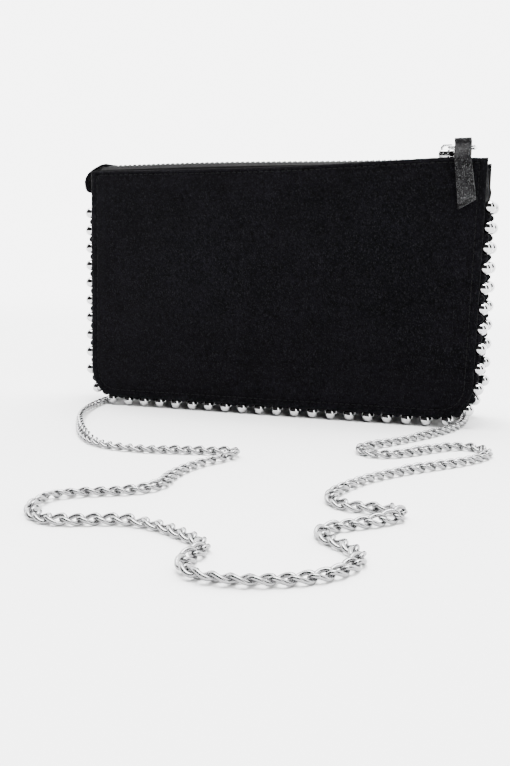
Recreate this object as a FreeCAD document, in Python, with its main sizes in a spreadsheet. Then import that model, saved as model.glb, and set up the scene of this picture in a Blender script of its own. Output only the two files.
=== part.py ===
import FreeCAD, Part
import math
import os
import Sketcher

# Chain wallet: small suede zip-top bag with ball studs and a curb chain.
# Frame: +Z up, +X to the right, front panel faces -Y, origin on the ground
# under the middle of the bag. Millimetres.

os.makedirs("parts", exist_ok=True)
doc = FreeCAD.newDocument("ChainWallet")
sheet = doc.addObject("Spreadsheet::Sheet", "Sheet")

SIZES = [
    ("width_base", 214.8), ("side_flare", 4.8), ("panel_top", 133.0),
    ("depth_base", 40.4), ("depth_top", 21.2), ("corner_radius", 15.5),
    ("panel_thick", 1.2), ("board_thick", 0.8), ("lining_thick", 0.5), ("lining_gap", 0.45),
    ("gusset_inset", 0.4), ("gusset_thick", 1.2), ("gusset_drop", 4.0),
    ("board_inset", 4.0), ("board_drop", 9.0), ("lining_drop", 3.0),
    ("stud_dia", 6.2), ("stud_sink", 0.8), ("stud_pitch", 10.0), ("side_pitch", 9.92),
    ("stud_gap", 0.2715), ("stud_corner_reach", 5.0), ("stud_top_room", 17.0),
    ("post_dia", 1.6), ("post_gap", 0.1), ("cap_dia", 3.0), ("cap_thick", 0.4),
    ("cap_gap", 0.05), ("cap_lift", 0.15),
    ("base_board_end_gap", 2.9), ("base_board_side_gap", 8.7), ("base_board_thick", 1.0),
    ("pocket_width", 150.0), ("pocket_height", 78.0), ("pocket_thick", 0.8), ("pocket_base", 12.0),
    ("card_width", 98.0), ("card_low_height", 44.0), ("card_high_height", 56.0),
    ("card_thick", 0.8), ("card_base", 12.0),
    ("zip_rise", 2.5), ("tape_thick", 0.7), ("tape_setback", 5.8), ("tape_flat", 4.2),
    ("tape_leg", 6.5), ("teeth_half_width", 1.9), ("teeth_overlap", 0.8), ("tooth_height", 2.4),
    ("tooth_length", 1.2), ("tooth_pitch", 3.0), ("teeth_setback", 5.4), ("teeth_in_slider", 4.1),
    ("slider_setback", 19.2), ("slider_length", 7.7), ("slider_half_width", 3.9),
    ("plate_thick", 1.2), ("teeth_clearance", 0.3),
    ("bridge_length", 6.2), ("bridge_width", 3.0), ("bridge_thick", 0.9),
    ("ring_wire", 1.3), ("ring_gap", 0.3), ("ring_length", 12.4), ("ring_half_width", 5.2),
    ("ring_corner", 0.9), ("eye_gap", 0.2),
    ("tab_thick", 1.2), ("tab_gap", 0.45), ("tab_width", 8.4), ("tab_tail", 26.6),
    ("anchor_width", 8.0), ("anchor_height", 13.0), ("anchor_thick", 1.1),
    ("anchor_setback", 9.3), ("anchor_drop", 3.0),
    ("end_ring_width", 12.5), ("end_ring_shoulder", 1.3), ("end_ring_leg", 1.2), ("end_ring_wire", 1.5),
    ("end_tab_half_width", 6.0), ("end_tab_thick", 1.2), ("end_tab_reach", 4.7), ("chain_dia", 4.2),
]
LINKED = [
    ("width_top", "width_base + side_flare"),
    ("panel_bottom", "stud_dia - stud_sink"),
    ("stud_setback", "panel_thick + max(stud_gap + sqrt(stud_sink * panel_bottom);"
                     " board_thick + cap_dia / 2 + cap_gap)"),
    ("studs_along_base", "floor((width_base - 2 * corner_radius + 2 * stud_corner_reach) / stud_pitch) + 1"),
    ("studs_up_side", "floor((panel_top - panel_bottom - stud_top_room) / side_pitch)"),
    ("hole_dia", "post_dia + post_gap"),
    ("base_board_length", "width_base - 2 * corner_radius - 2 * base_board_end_gap"),
    ("base_board_width", "depth_base - 2 * base_board_side_gap"),
    ("tape_half_length", "width_top / 2 - tape_setback"),
    ("teeth_start", "tape_half_length - teeth_setback"),
    ("slider_start", "tape_half_length - slider_setback"),
    ("teeth_end", "slider_start + teeth_in_slider"),
    ("bridge_height", "ring_wire + 2 * ring_gap + bridge_thick"),
    ("anchor_side", "width_top / 2 - anchor_setback"),
    ("anchor_top", "panel_top - anchor_drop"),
]
CELLS = [(alias, repr(number)) for alias, number in SIZES]
CELLS += [(alias, "=" + formula) for alias, formula in LINKED]
for row, (alias, content) in enumerate(CELLS, start=1):
    sheet.set("A%d" % row, alias)
    sheet.set("B%d" % row, content)
    sheet.setAlias("B%d" % row, alias)
doc.recompute()


def size(alias):
    return float(getattr(sheet, alias))


V = FreeCAD.Vector
PANEL_RISE = size("panel_top") - size("panel_bottom")
LEAN = math.atan((size("depth_base") - size("depth_top")) / 2.0 / PANEL_RISE)
LEAN_COS = math.cos(LEAN)
SLOPE = math.tan(LEAN)
parts = {}


def half_depth(z):
    """Half the bag's outside depth at height z."""
    return size("depth_base") / 2.0 - SLOPE * (z - size("panel_bottom"))


def half_width(z):
    """Half the panels' width at height z."""
    grow = (size("width_top") - size("width_base")) / 2.0 / PANEL_RISE
    return size("width_base") / 2.0 + grow * (z - size("panel_bottom"))


def node(name, obj):
    obj.Label = name
    parts[name] = obj
    return obj


def feature(name, shape):
    """A plain feature whose shape is worked out from the sheet's values."""
    obj = doc.addObject("Part::Feature", "F_" + name)
    obj.Shape = shape
    return obj


def outline_top(inset, drop):
    """Height and half width of an outline's top edge, measured up the panel."""
    tall = PANEL_RISE / LEAN_COS
    top = tall - drop
    flare = (size("width_top") - size("width_base")) / 2.0
    return top, size("width_base") / 2.0 + flare * top / tall - inset


def outline_sketch(body, name, inset, drop, rise, depth, plane="XZ_Plane"):
    """Panel outline: slightly flared sides, square top, rounded lower corners."""
    sk = body.newObject("Sketcher::SketchObject", name)
    origin_plane = [f for f in body.Origin.OriginFeatures if f.Name.startswith(plane)][0]
    sk.AttachmentSupport = [(origin_plane, "")]
    sk.MapMode = "FlatFace"
    sk.setExpression("AttachmentOffset.Base.z", depth)
    b = size("width_base") / 2.0 - inset
    r = size("corner_radius") - inset
    low = rise
    top, t = outline_top(inset, drop)
    share = top * LEAN_COS / PANEL_RISE
    cx = b - r
    p = [V(-cx, low, 0), V(cx, low, 0), V(b, low + r, 0), V(t, top, 0), V(-t, top, 0), V(-b, low + r, 0)]
    sk.addGeometry(Part.LineSegment(p[0], p[1]), False)
    sk.addGeometry(Part.ArcOfCircle(Part.Circle(V(cx, low + r, 0), V(0, 0, 1), r), -math.pi / 2, 0), False)
    sk.addGeometry(Part.LineSegment(p[2], p[3]), False)
    sk.addGeometry(Part.LineSegment(p[3], p[4]), False)
    sk.addGeometry(Part.LineSegment(p[4], p[5]), False)
    sk.addGeometry(Part.ArcOfCircle(Part.Circle(V(-cx, low + r, 0), V(0, 0, 1), r), math.pi, 1.5 * math.pi), False)
    sk.addConstraint(Sketcher.Constraint("Tangent", 0, 2, 1, 1))
    sk.addConstraint(Sketcher.Constraint("Tangent", 1, 2, 2, 1))
    sk.addConstraint(Sketcher.Constraint("Coincident", 2, 2, 3, 1))
    sk.addConstraint(Sketcher.Constraint("Coincident", 3, 2, 4, 1))
    sk.addConstraint(Sketcher.Constraint("Tangent", 4, 2, 5, 1))
    sk.addConstraint(Sketcher.Constraint("Tangent", 5, 2, 0, 1))
    sk.addConstraint(Sketcher.Constraint("Symmetric", 3, 1, 3, 2, -2))
    sk.addConstraint(Sketcher.Constraint("Symmetric", 0, 1, 0, 2, -2))
    sk.addConstraint(Sketcher.Constraint("Equal", 1, 5))
    bound = [
        (Sketcher.Constraint("Radius", 1, r), "Sheet.corner_radius - %g" % inset),
        (Sketcher.Constraint("DistanceX", 3, 2, 3, 1, 2 * t),
         "Sheet.width_base + (Sheet.width_top - Sheet.width_base) * %.9f - %g" % (share, 2 * inset)),
        (Sketcher.Constraint("DistanceX", -1, 1, 0, 2, cx), "Sheet.width_base / 2 - Sheet.corner_radius"),
        (Sketcher.Constraint("DistanceY", -1, 1, 0, 2, low), "%g" % rise),
        (Sketcher.Constraint("DistanceY", -1, 1, 3, 1, top),
         "(Sheet.panel_top - Sheet.panel_bottom) / %.9f - %g" % (LEAN_COS, drop)),
    ]
    for constraint, formula in bound:
        index = sk.addConstraint(constraint)
        sk.setExpression("Constraints[%d]" % index, formula)
    return sk


def plate(name, inset, drop, rise, depth, thick, back):
    """Flat sheet that leans with the front or the back panel."""
    body = doc.addObject("PartDesign::Body", "B_" + name)
    sk = outline_sketch(body, "S_" + name, inset, drop, rise, depth)
    pad = body.newObject("PartDesign::Pad", "P_" + name)
    pad.Profile = sk
    pad.setExpression("Length", thick)
    pad.Reversed = True
    lean = FreeCAD.Rotation(V(1, 0, 0), -math.degrees(LEAN))
    turn = FreeCAD.Rotation(V(0, 0, 1), 180.0 if back else 0.0)
    half = size("depth_base") / 2.0
    body.Placement = FreeCAD.Placement(V(0, half if back else -half, size("panel_bottom")), turn.multiply(lean))
    return body


def shell_body(name, outer_inset, inner_inset, bottom, inner_bottom, drop):
    """Open-topped U strip, as deep as the bag before the two panels trim it."""
    body = doc.addObject("PartDesign::Body", "B_" + name)
    outer = outline_sketch(body, "SO_" + name, outer_inset, drop, bottom, "0")
    pad = body.newObject("PartDesign::Pad", "P_" + name)
    pad.Profile = outer
    pad.setExpression("Length", "Sheet.depth_base + 8")
    pad.Midplane = True
    inner = outline_sketch(body, "SI_" + name, inner_inset, drop - 20.0, inner_bottom, "0")
    cut = body.newObject("PartDesign::Pocket", "K_" + name)
    cut.Profile = inner
    cut.Type = 1
    cut.Midplane = True
    body.Placement = FreeCAD.Placement(V(0, 0, size("panel_bottom")), FreeCAD.Rotation())
    return body


def between_panels(name, depth):
    """Tapered space between the two panels, depth mm in from their outer faces."""
    wedge = doc.addObject("Part::Wedge", "W_" + name)
    low = 0.0
    high = size("panel_top") + 10.0
    inset = depth / LEAN_COS
    reach = size("width_top")
    wedge.Xmin = -reach
    wedge.Xmax = reach
    wedge.X2min = -reach
    wedge.X2max = reach
    wedge.Ymin = low
    wedge.Ymax = high
    wedge.setExpression("Zmin", "-(Sheet.depth_base / 2 + %.9f - %.9f)" % (SLOPE * size("panel_bottom"), inset))
    wedge.setExpression("Zmax", "Sheet.depth_base / 2 + %.9f - %.9f" % (SLOPE * size("panel_bottom"), inset))
    wedge.Z2min = -(half_depth(high) - inset)
    wedge.Z2max = half_depth(high) - inset
    wedge.Placement = FreeCAD.Placement(V(0, 0, 0), FreeCAD.Rotation(V(1, 0, 0), 90))
    return wedge


def common(name, base, tool):
    obj = doc.addObject("Part::MultiCommon", "C_" + name)
    obj.Shapes = [base, tool]
    return obj


# ---- outline of the gusset's outer surface, for anything fixed to it ----

def gusset_point(s):
    """Point and outward normal at arc length s along the gusset, from the middle of the base."""
    side = 1.0 if s >= 0 else -1.0
    s = abs(s)
    flat = size("width_base") / 2.0 - size("corner_radius")
    r = size("corner_radius") - size("gusset_inset")
    low = size("panel_bottom") + size("gusset_inset")
    top, half_top = outline_top(size("gusset_inset"), size("gusset_drop"))
    out = half_top - flat
    rise = top - size("gusset_inset") - r
    grow = math.acos(r / math.hypot(rise, out)) - math.atan2(rise, out)
    bend = r * (math.pi / 2 - grow)
    if s <= flat:
        return V(side * s, 0, low), V(0, 0, -1)
    if s <= flat + bend:
        a = (s - flat) / r
        n = V(side * math.sin(a), 0, -math.cos(a))
        return V(side * (flat + r * math.sin(a)), 0, low + r - r * math.cos(a)), n
    a = math.pi / 2 - grow
    up = s - flat - bend
    n = V(side * math.sin(a), 0, -math.cos(a))
    x = flat + r * math.sin(a) + up * math.sin(grow)
    z = low + r - r * math.cos(a) + up * math.cos(grow)
    return V(side * x, 0, z), n


STAND = size("panel_bottom") + size("gusset_inset") - size("stud_dia") / 2.0
base_count = int(round(size("studs_along_base")))
base_steps = [(i - (base_count - 1) / 2.0) * size("stud_pitch") for i in range(base_count)]
last = base_steps[-1]
side_steps = [last + size("stud_pitch"), last + 2 * size("stud_pitch")]
while len(side_steps) < int(round(size("studs_up_side"))):
    side_steps.append(side_steps[-1] + size("side_pitch"))


def stud_frame(s, back):
    """Where the stud's axis leaves the gusset, and which way it points."""
    p, n = gusset_point(s)
    centre_z = p.z + n.z * STAND
    y = half_depth(centre_z) - size("stud_setback")
    return V(p.x, y if back else -y, p.z), n


def stud(s, back):
    p, n = stud_frame(s, back)
    r = size("stud_dia") / 2.0
    foot = math.degrees(math.asin(-STAND / r))
    ball = Part.makeSphere(r, V(0, 0, 0), V(0, 0, 1), foot, 90, 360)
    reach = size("gusset_thick") + size("cap_lift")
    post = Part.makeCylinder(size("post_dia") / 2.0, reach + 1.0, V(0, 0, -STAND - reach), V(0, 0, 1))
    piece = ball.fuse(post)
    piece.Placement = FreeCAD.Placement(p + n * STAND, FreeCAD.Rotation(V(0, 0, 1), n))
    return piece


def cap(s, back):
    p, n = stud_frame(s, back)
    start = p - n * (size("gusset_thick") + size("cap_lift"))
    return Part.makeCylinder(size("cap_dia") / 2.0, size("cap_thick"), start, n * -1)


def post_hole(s, back):
    p, n = stud_frame(s, back)
    return Part.makeCylinder(size("hole_dia") / 2.0, size("gusset_thick") + 2.0, p + n, n * -1)


# ---- leather and board ----

node("front_panel", plate("front_panel", 0.0, 0.0, 0.0, "0", "Sheet.panel_thick", False))
node("back_panel", plate("back_panel", 0.0, 0.0, 0.0, "0", "Sheet.panel_thick", True))
node("front_board", plate("front_board", size("board_inset"), size("board_drop"), size("board_inset"),
                          "-Sheet.panel_thick", "Sheet.board_thick", False))
node("back_board", plate("back_board", size("board_inset"), size("board_drop"), size("board_inset"),
                         "-Sheet.panel_thick", "Sheet.board_thick", True))

gusset_in = size("gusset_inset") + size("gusset_thick")
gusset_body = shell_body("gusset", size("gusset_inset"), gusset_in, size("gusset_inset"), gusset_in,
                         size("gusset_drop"))
gusset_space = between_panels("gusset", size("panel_thick"))
gusset_trim = common("gusset", gusset_body, gusset_space)
every_step = base_steps + side_steps + [-s for s in side_steps]
holes = [post_hole(s, back) for s in every_step for back in (False, True)]
hole_tool = feature("post_holes", Part.makeCompound(holes))
gusset = doc.addObject("Part::Cut", "Gusset")
gusset.Base = gusset_trim
gusset.Tool = hole_tool
node("gusset", gusset)

base_board = doc.addObject("Part::Box", "BaseBoard")
base_board.setExpression("Length", "Sheet.base_board_length")
base_board.setExpression("Width", "Sheet.base_board_width")
base_board.setExpression("Height", "Sheet.base_board_thick")
base_board.Placement.Base = V(-size("base_board_length") / 2.0, -size("base_board_width") / 2.0,
                              size("panel_bottom") + gusset_in)
node("base_board", base_board)

# ---- lining ----

lining_side = gusset_in + size("cap_lift") + size("cap_thick") + size("lining_gap")
lining_low = gusset_in + size("base_board_thick")
lining_body = shell_body("lining_gusset", lining_side, lining_side + size("lining_thick"), lining_low,
                         lining_low + size("lining_thick"), size("gusset_drop") + 2.0)
lining_depth = size("panel_thick") + size("board_thick") + size("lining_thick")
lining_space = between_panels("lining", lining_depth)
node("lining_gusset", common("lining", lining_body, lining_space))
lining_from = "-(Sheet.panel_thick + Sheet.board_thick)"
lining_rise = lining_low + size("lining_thick")
for name, back in (("lining_front", False), ("lining_back", True)):
    node(name, plate(name, lining_side, size("lining_drop"), lining_low, lining_from,
                     "Sheet.lining_thick", back))


def leaning_box(name, width, height, thick, base, depth, back):
    """Flat rectangular piece lying against the inside of a panel."""
    box = doc.addObject("Part::Box", "X_" + name)
    box.setExpression("Length", width)
    box.setExpression("Width", thick)
    box.setExpression("Height", height)
    doc.recompute()
    lean = FreeCAD.Rotation(V(1, 0, 0), -math.degrees(LEAN))
    turn = FreeCAD.Rotation(V(0, 0, 1), 180.0 if back else 0.0)
    rot = turn.multiply(lean)
    half = size("depth_base") / 2.0
    start = V(0, half if back else -half, size("panel_bottom"))
    offset = rot.multVec(V(-box.Length.Value / 2.0, depth, base))
    box.Placement = FreeCAD.Placement(start + offset, rot)
    return box


for name, width, height, thick, base, depth, back in (
        ("slip_pocket", "Sheet.pocket_width", "Sheet.pocket_height", "Sheet.pocket_thick",
         size("pocket_base"), lining_depth, True),
        ("card_slot_front", "Sheet.card_width", "Sheet.card_low_height", "Sheet.card_thick",
         size("card_base"), lining_depth + size("card_thick"), False),
        ("card_slot_rear", "Sheet.card_width", "Sheet.card_high_height", "Sheet.card_thick",
         size("card_base"), lining_depth, False)):
    node(name, leaning_box(name, width, height, thick, base, depth, back))

# ---- studs ----

STUD_ROWS = []
for side, back in (("front", False), ("back", True)):
    STUD_ROWS.append(("studs_%s_base" % side, base_steps, back))
    STUD_ROWS.append(("studs_%s_right" % side, side_steps, back))
    STUD_ROWS.append(("studs_%s_left" % side, [-s for s in side_steps], back))
for name, steps, back in STUD_ROWS:
    node(name, feature(name, Part.makeCompound([stud(s, back) for s in steps])))
for side, back in (("front", False), ("back", True)):
    name = "stud_caps_" + side
    node(name, feature(name, Part.makeCompound([cap(s, back) for s in every_step])))

# ---- zip ----

ZIP_Z = size("panel_top") + size("zip_rise")


def prism_x(points, x0, x1):
    """Solid of a closed profile in the YZ plane, drawn from x0 to x1."""
    wire = Part.makePolygon([V(x0, y, z) for y, z in points] + [V(x0, points[0][0], points[0][1])])
    return Part.Face(wire).extrude(V(x1 - x0, 0, 0))


def mirror_y(shape):
    return shape.mirror(V(0, 0, 0), V(0, 1, 0))


def box_at(x0, x1, y0, y1, z0, z1):
    return Part.makeBox(x1 - x0, y1 - y0, z1 - z0, V(x0, y0, z0))


def tape_profile():
    t = size("tape_thick")
    top = size("panel_top") + 0.3
    low = size("panel_top") - size("tape_leg")
    inner = size("panel_thick") / LEAN_COS
    y_low = -(half_depth(low) - inner)
    y_top = -(half_depth(top) - inner)
    edge = -size("teeth_half_width")
    flat = -size("tape_flat")
    return [
        (y_low, low), (y_top, top), (flat, ZIP_Z + t / 2), (edge, ZIP_Z + t / 2),
        (edge, ZIP_Z - t / 2), (flat - 0.1, ZIP_Z - t / 2), (y_top + t, top - 0.45), (y_low + t, low),
    ]


reach = size("tape_half_length")
tape = prism_x(tape_profile(), -reach, reach)
node("zip_tape_front", feature("zip_tape_front", tape))
node("zip_tape_back", feature("zip_tape_back", mirror_y(tape)))


def tooth(x):
    h = size("tooth_height") / 2.0
    outer = -size("teeth_half_width")
    inner = size("teeth_overlap")
    points = [(outer, ZIP_Z - h + 0.3), (outer, ZIP_Z + h - 0.3), (outer + 0.3, ZIP_Z + h),
              (inner - 0.3, ZIP_Z + h), (inner, ZIP_Z + h - 0.3), (inner, ZIP_Z - h + 0.3),
              (inner - 0.3, ZIP_Z - h), (outer + 0.3, ZIP_Z - h)]
    half = size("tooth_length") / 2.0
    return prism_x(points, x - half, x + half)


def tooth_row(first):
    teeth = []
    x = first
    while x <= size("teeth_end") + 0.01:
        teeth.append(tooth(x))
        x += size("tooth_pitch")
    return teeth


front_teeth = tooth_row(-size("teeth_start"))
back_teeth = [mirror_y(t) for t in tooth_row(-size("teeth_start") + size("tooth_pitch") / 2.0)]
node("zip_teeth_front", feature("zip_teeth_front", Part.makeCompound(front_teeth)))
node("zip_teeth_back", feature("zip_teeth_back", Part.makeCompound(back_teeth)))

end_x = size("teeth_start") + size("tooth_length") / 2.0
bottom_stop = box_at(-end_x - 2.4, -end_x - 0.2, -1.9, 1.9, ZIP_Z - 1.3, ZIP_Z + 1.3)
node("zip_bottom_stop", feature("zip_bottom_stop", bottom_stop))
stop_x = size("slider_start") + size("slider_length") + 0.6
top_stop = box_at(stop_x, stop_x + 1.8, -1.9, -0.4, ZIP_Z - 1.2, ZIP_Z + 1.2)
node("zip_top_stops", feature("zip_top_stops", Part.makeCompound([top_stop, mirror_y(top_stop)])))

# slider: two plates with rolled edges, joined by the post that parts the teeth
sx0 = size("slider_start")
sx1 = sx0 + size("slider_length")
hw = size("slider_half_width")
half_tooth = size("tooth_height") / 2.0 + size("teeth_clearance")
top_z = ZIP_Z + half_tooth
low_z = ZIP_Z - half_tooth
lip = size("tape_thick") / 2.0 + size("teeth_clearance")
slider = box_at(sx0, sx1, -hw, hw, top_z, top_z + size("plate_thick"))
slider = slider.fuse(box_at(sx0, sx1, -hw, hw, low_z - size("plate_thick"), low_z))
for y0, y1 in ((-hw, -hw + 1.2), (hw - 1.2, hw)):
    slider = slider.fuse(box_at(sx0, sx1, y0, y1, ZIP_Z + lip, top_z))
    slider = slider.fuse(box_at(sx0, sx1, y0, y1, low_z, ZIP_Z - lip))
post_x = size("teeth_end") + size("tooth_length") / 2.0 + 0.6
slider = slider.fuse(box_at(post_x, sx1 - 0.8, -0.9, 0.9, low_z, top_z))
node("slider_body", feature("slider_body", slider.removeSplitter()))

plate_top = top_z + size("plate_thick")
bx0 = sx0 + 0.8
bx1 = bx0 + size("bridge_length")
bt = size("bridge_thick")
bw = size("bridge_width") / 2.0
bridge_top = plate_top + size("bridge_height")
bridge_points = [(bx0, plate_top), (bx0, bridge_top - 1.2), (bx0 + 1.4, bridge_top), (bx1 - 1.0, bridge_top),
                 (bx1, bridge_top - 1.0), (bx1, plate_top), (bx1 - bt, plate_top),
                 (bx1 - bt, bridge_top - bt - 0.4), (bx1 - bt - 0.4, bridge_top - bt),
                 (bx0 + 1.7, bridge_top - bt), (bx0 + bt, bridge_top - 1.6), (bx0 + bt, plate_top)]
wire = Part.makePolygon([V(x, -bw, z) for x, z in bridge_points + bridge_points[:1]])
node("slider_bridge", feature("slider_bridge", Part.Face(wire).extrude(V(0, 2 * bw, 0))))

# pull ring: rounded rectangle of wire lying along the zip, its near bar under the bridge
rw = size("ring_wire") / 2.0
ring_x0 = bx1 - bt - rw - 0.2
ring_x1 = ring_x0 + size("ring_length")
ring_y = size("ring_half_width")
ring_z = plate_top + rw + size("ring_gap")
rc = size("ring_corner")


def rounded_loop(x0, x1, y, z, r):
    k = r * (1 - math.sqrt(0.5))
    edges = [
        Part.LineSegment(V(x0 + r, -y, z), V(x1 - r, -y, z)),
        Part.Arc(V(x1 - r, -y, z), V(x1 - k, -y + k, z), V(x1, -y + r, z)),
        Part.LineSegment(V(x1, -y + r, z), V(x1, y - r, z)),
        Part.Arc(V(x1, y - r, z), V(x1 - k, y - k, z), V(x1 - r, y, z)),
        Part.LineSegment(V(x1 - r, y, z), V(x0 + r, y, z)),
        Part.Arc(V(x0 + r, y, z), V(x0 + k, y - k, z), V(x0, y - r, z)),
        Part.LineSegment(V(x0, y - r, z), V(x0, -y + r, z)),
        Part.Arc(V(x0, -y + r, z), V(x0 + k, -y + k, z), V(x0 + r, -y, z)),
    ]
    return Part.Wire([e.toShape() for e in edges])


def sweep(path, start, direction, radius):
    circle = Part.Wire(Part.makeCircle(radius, start, direction))
    pipe = Part.BRepOffsetAPI.MakePipeShell(path)
    pipe.add(circle)
    pipe.setTransitionMode(0)
    pipe.build()
    pipe.makeSolid()
    return pipe.shape()


loop = rounded_loop(ring_x0, ring_x1, ring_y, ring_z, rc)
node("pull_ring", feature("pull_ring", sweep(loop, V(ring_x0 + rc, -ring_y, ring_z), V(1, 0, 0), rw)))

# pull tab: folded suede strip hung on the ring's front bar, lying on the front panel
bar_y = -ring_y
bar_z = ring_z
tt = size("tab_thick")
gap = size("tab_gap")
rim_y = -half_depth(size("panel_top"))
rim_z = size("panel_top")
tail_low = rim_z - size("tab_tail")
tail_y = -half_depth(tail_low)
eye_r = rw + size("eye_gap")
tab_x0 = bx1 + 0.7
tab_x1 = tab_x0 + size("tab_width")
cut_x0 = tab_x0 - 10.0
cut_x1 = tab_x1 + 10.0
cut_y = -size("depth_base")
inner_side = [(bar_y + 0.95, bar_z - 1.3), (bar_y + 0.2, bar_z - 2.4), (rim_y + 1.4, rim_z + 1.35),
              (rim_y - gap, rim_z + 0.2), (tail_y - gap, tail_low)]
outer_side = [(tail_y - gap - 2 * tt, tail_low), (rim_y - gap - 2 * tt, rim_z + 0.9),
              (rim_y - gap - 0.9, rim_z + 3.0), (bar_y - 2.0, bar_z + 1.4), (bar_y - 2.0, bar_z + 2.6),
              (bar_y - 1.4, bar_z + 3.7), (bar_y - 0.1, bar_z + 4.3), (bar_y + 1.2, bar_z + 3.7),
              (bar_y + 2.1, bar_z + 2.6), (bar_y + 2.2, bar_z + 0.5)]
side_profile = prism_x(inner_side + outer_side, cut_x0, cut_x1)
eye_turns = [math.radians(15 * i) for i in range(24)]
eye = prism_x([(bar_y + eye_r * math.cos(a), bar_z + eye_r * math.sin(a) + (1.9 if math.sin(a) > 0.01 else 0.0))
               for a in eye_turns], cut_x0, cut_x1)
side_profile = side_profile.cut(eye)


def face_profile(left_rise, right_rise, shift):
    """The tab's outline from the front, its slanting lower end the two rises above tail_low."""
    top = bar_z + 6.85
    points = [(tab_x0, top), (tab_x1, top), (tab_x1 + 0.45, bar_z - 1.9),
              (tab_x1 + shift, tail_low + right_rise), (tab_x0 + shift, tail_low + left_rise)]
    wire = Part.makePolygon([V(x, cut_y, z) for x, z in points + points[:1]])
    return Part.Face(wire).extrude(V(0, 5.0 - cut_y, 0))


tab = side_profile.common(face_profile(1.9, 6.5, 4.3))
step_y = tail_y - gap - tt
step_top = tail_low + 13.6
step = prism_x([(step_y - 0.12, tail_low), (cut_y, tail_low), (cut_y, step_top), (step_y + 0.90, step_top)],
               cut_x0, cut_x1)
keep = face_profile(4.5, 9.0, 4.0)
tab = tab.cut(step.cut(keep))
node("pull_tab", feature("pull_tab", tab))

# suede tab folded down over the left end of the tapes
half_y = size("end_tab_half_width")
et = size("end_tab_thick")
ez = ZIP_Z + size("tape_thick") / 2.0
ex = -(end_x + 2.8)
out_x = -(half_width(rim_z) + size("end_tab_reach"))
end_outer = [(ex, ez + et), (out_x + 6.0, ez + et), (out_x + 2.0, ez + 0.2), (out_x + 0.9, rim_z - 0.4),
             (out_x, rim_z - 3.7), (out_x, rim_z - 10.6), (out_x + 0.9, rim_z - 13.4), (out_x + 3.6, rim_z - 15.6)]
end_inner = [(out_x + 4.3, rim_z - 14.6), (out_x + 1.9, rim_z - 12.7), (out_x + et, rim_z - 10.2),
             (out_x + et, rim_z - 4.0), (out_x + 1.9, rim_z - 1.1), (out_x + 2.5, ez - 1.0),
             (out_x + 6.2, ez), (ex, ez)]
wire = Part.makePolygon([V(x, -half_y, z) for x, z in end_outer + end_inner + end_outer[:1]])
node("zip_end_tab", feature("zip_end_tab", Part.Face(wire).extrude(V(0, 2 * half_y, 0))))

# ---- chain and what holds it, on the back panel ----

lean_turn = FreeCAD.Rotation(V(0, 0, 1), 180).multiply(FreeCAD.Rotation(V(1, 0, 0), -math.degrees(LEAN)))


def on_back(x, out, up):
    """World point for a place on the back panel: out from its face, up along its slope."""
    start = V(0, size("depth_base") / 2.0, size("panel_bottom"))
    return start + lean_turn.multVec(V(-x, -out, up))


ah = size("anchor_height")
at = size("anchor_thick")
er = size("end_ring_wire") / 2.0
anchor_up = (size("anchor_top") - size("panel_bottom")) / LEAN_COS
eye_out = at + er + 0.1
eye_up = anchor_up - ah
bore_r = er + 0.1
loop_r = bore_r + at


def d_ring(x, out, up, radius):
    """Wire ring with a straight bar through the loop and a round bow below it."""
    half = size("end_ring_width") / 2.0 - radius
    r = size("end_ring_shoulder")
    k = r * (1 - math.sqrt(0.5))
    low = up - r - size("end_ring_leg")

    def at_point(dx, height):
        return on_back(x + dx, out, height)

    edges = [
        Part.LineSegment(at_point(r - half, up), at_point(half - r, up)),
        Part.Arc(at_point(half - r, up), at_point(half - k, up - k), at_point(half, up - r)),
        Part.LineSegment(at_point(half, up - r), at_point(half, low)),
        Part.Arc(at_point(half, low), at_point(0, low - half), at_point(-half, low)),
        Part.LineSegment(at_point(-half, low), at_point(-half, up - r)),
        Part.Arc(at_point(-half, up - r), at_point(k - half, up - k), at_point(r - half, up)),
    ]
    path = Part.Wire([e.toShape() for e in edges])
    return sweep(path, at_point(r - half, up), V(1, 0, 0), radius)


for side, sign in (("left", -1.0), ("right", 1.0)):
    x = sign * size("anchor_side")
    hw2 = size("anchor_width") / 2.0

    def place(out, up):
        return on_back(x - hw2, out, up)

    strap = [place(0, anchor_up), place(2 * at, anchor_up), place(2 * at, eye_up + 2.4),
             place(eye_out + loop_r * 0.75, eye_up + loop_r * 0.66), place(eye_out + loop_r, eye_up),
             place(eye_out + loop_r * 0.7, eye_up - loop_r * 0.7), place(eye_out, eye_up - loop_r),
             place(0.55, eye_up - loop_r * 0.8), place(0, eye_up - loop_r * 0.4), place(0, anchor_up)]
    along = on_back(x + hw2, 0, 0) - on_back(x - hw2, 0, 0)
    solid = Part.Face(Part.makePolygon(strap)).extrude(along)
    bore = Part.makeCylinder(bore_r, size("anchor_width") + 4.0,
                             on_back(x - hw2 - 2.0, eye_out, eye_up), V(1, 0, 0))
    solid = solid.cut(bore)
    node("chain_anchor_" + side, feature("chain_anchor_" + side, solid))
    ring = d_ring(x, eye_out, eye_up, er)
    node("end_ring_" + side, feature("end_ring_" + side, ring))

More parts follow.
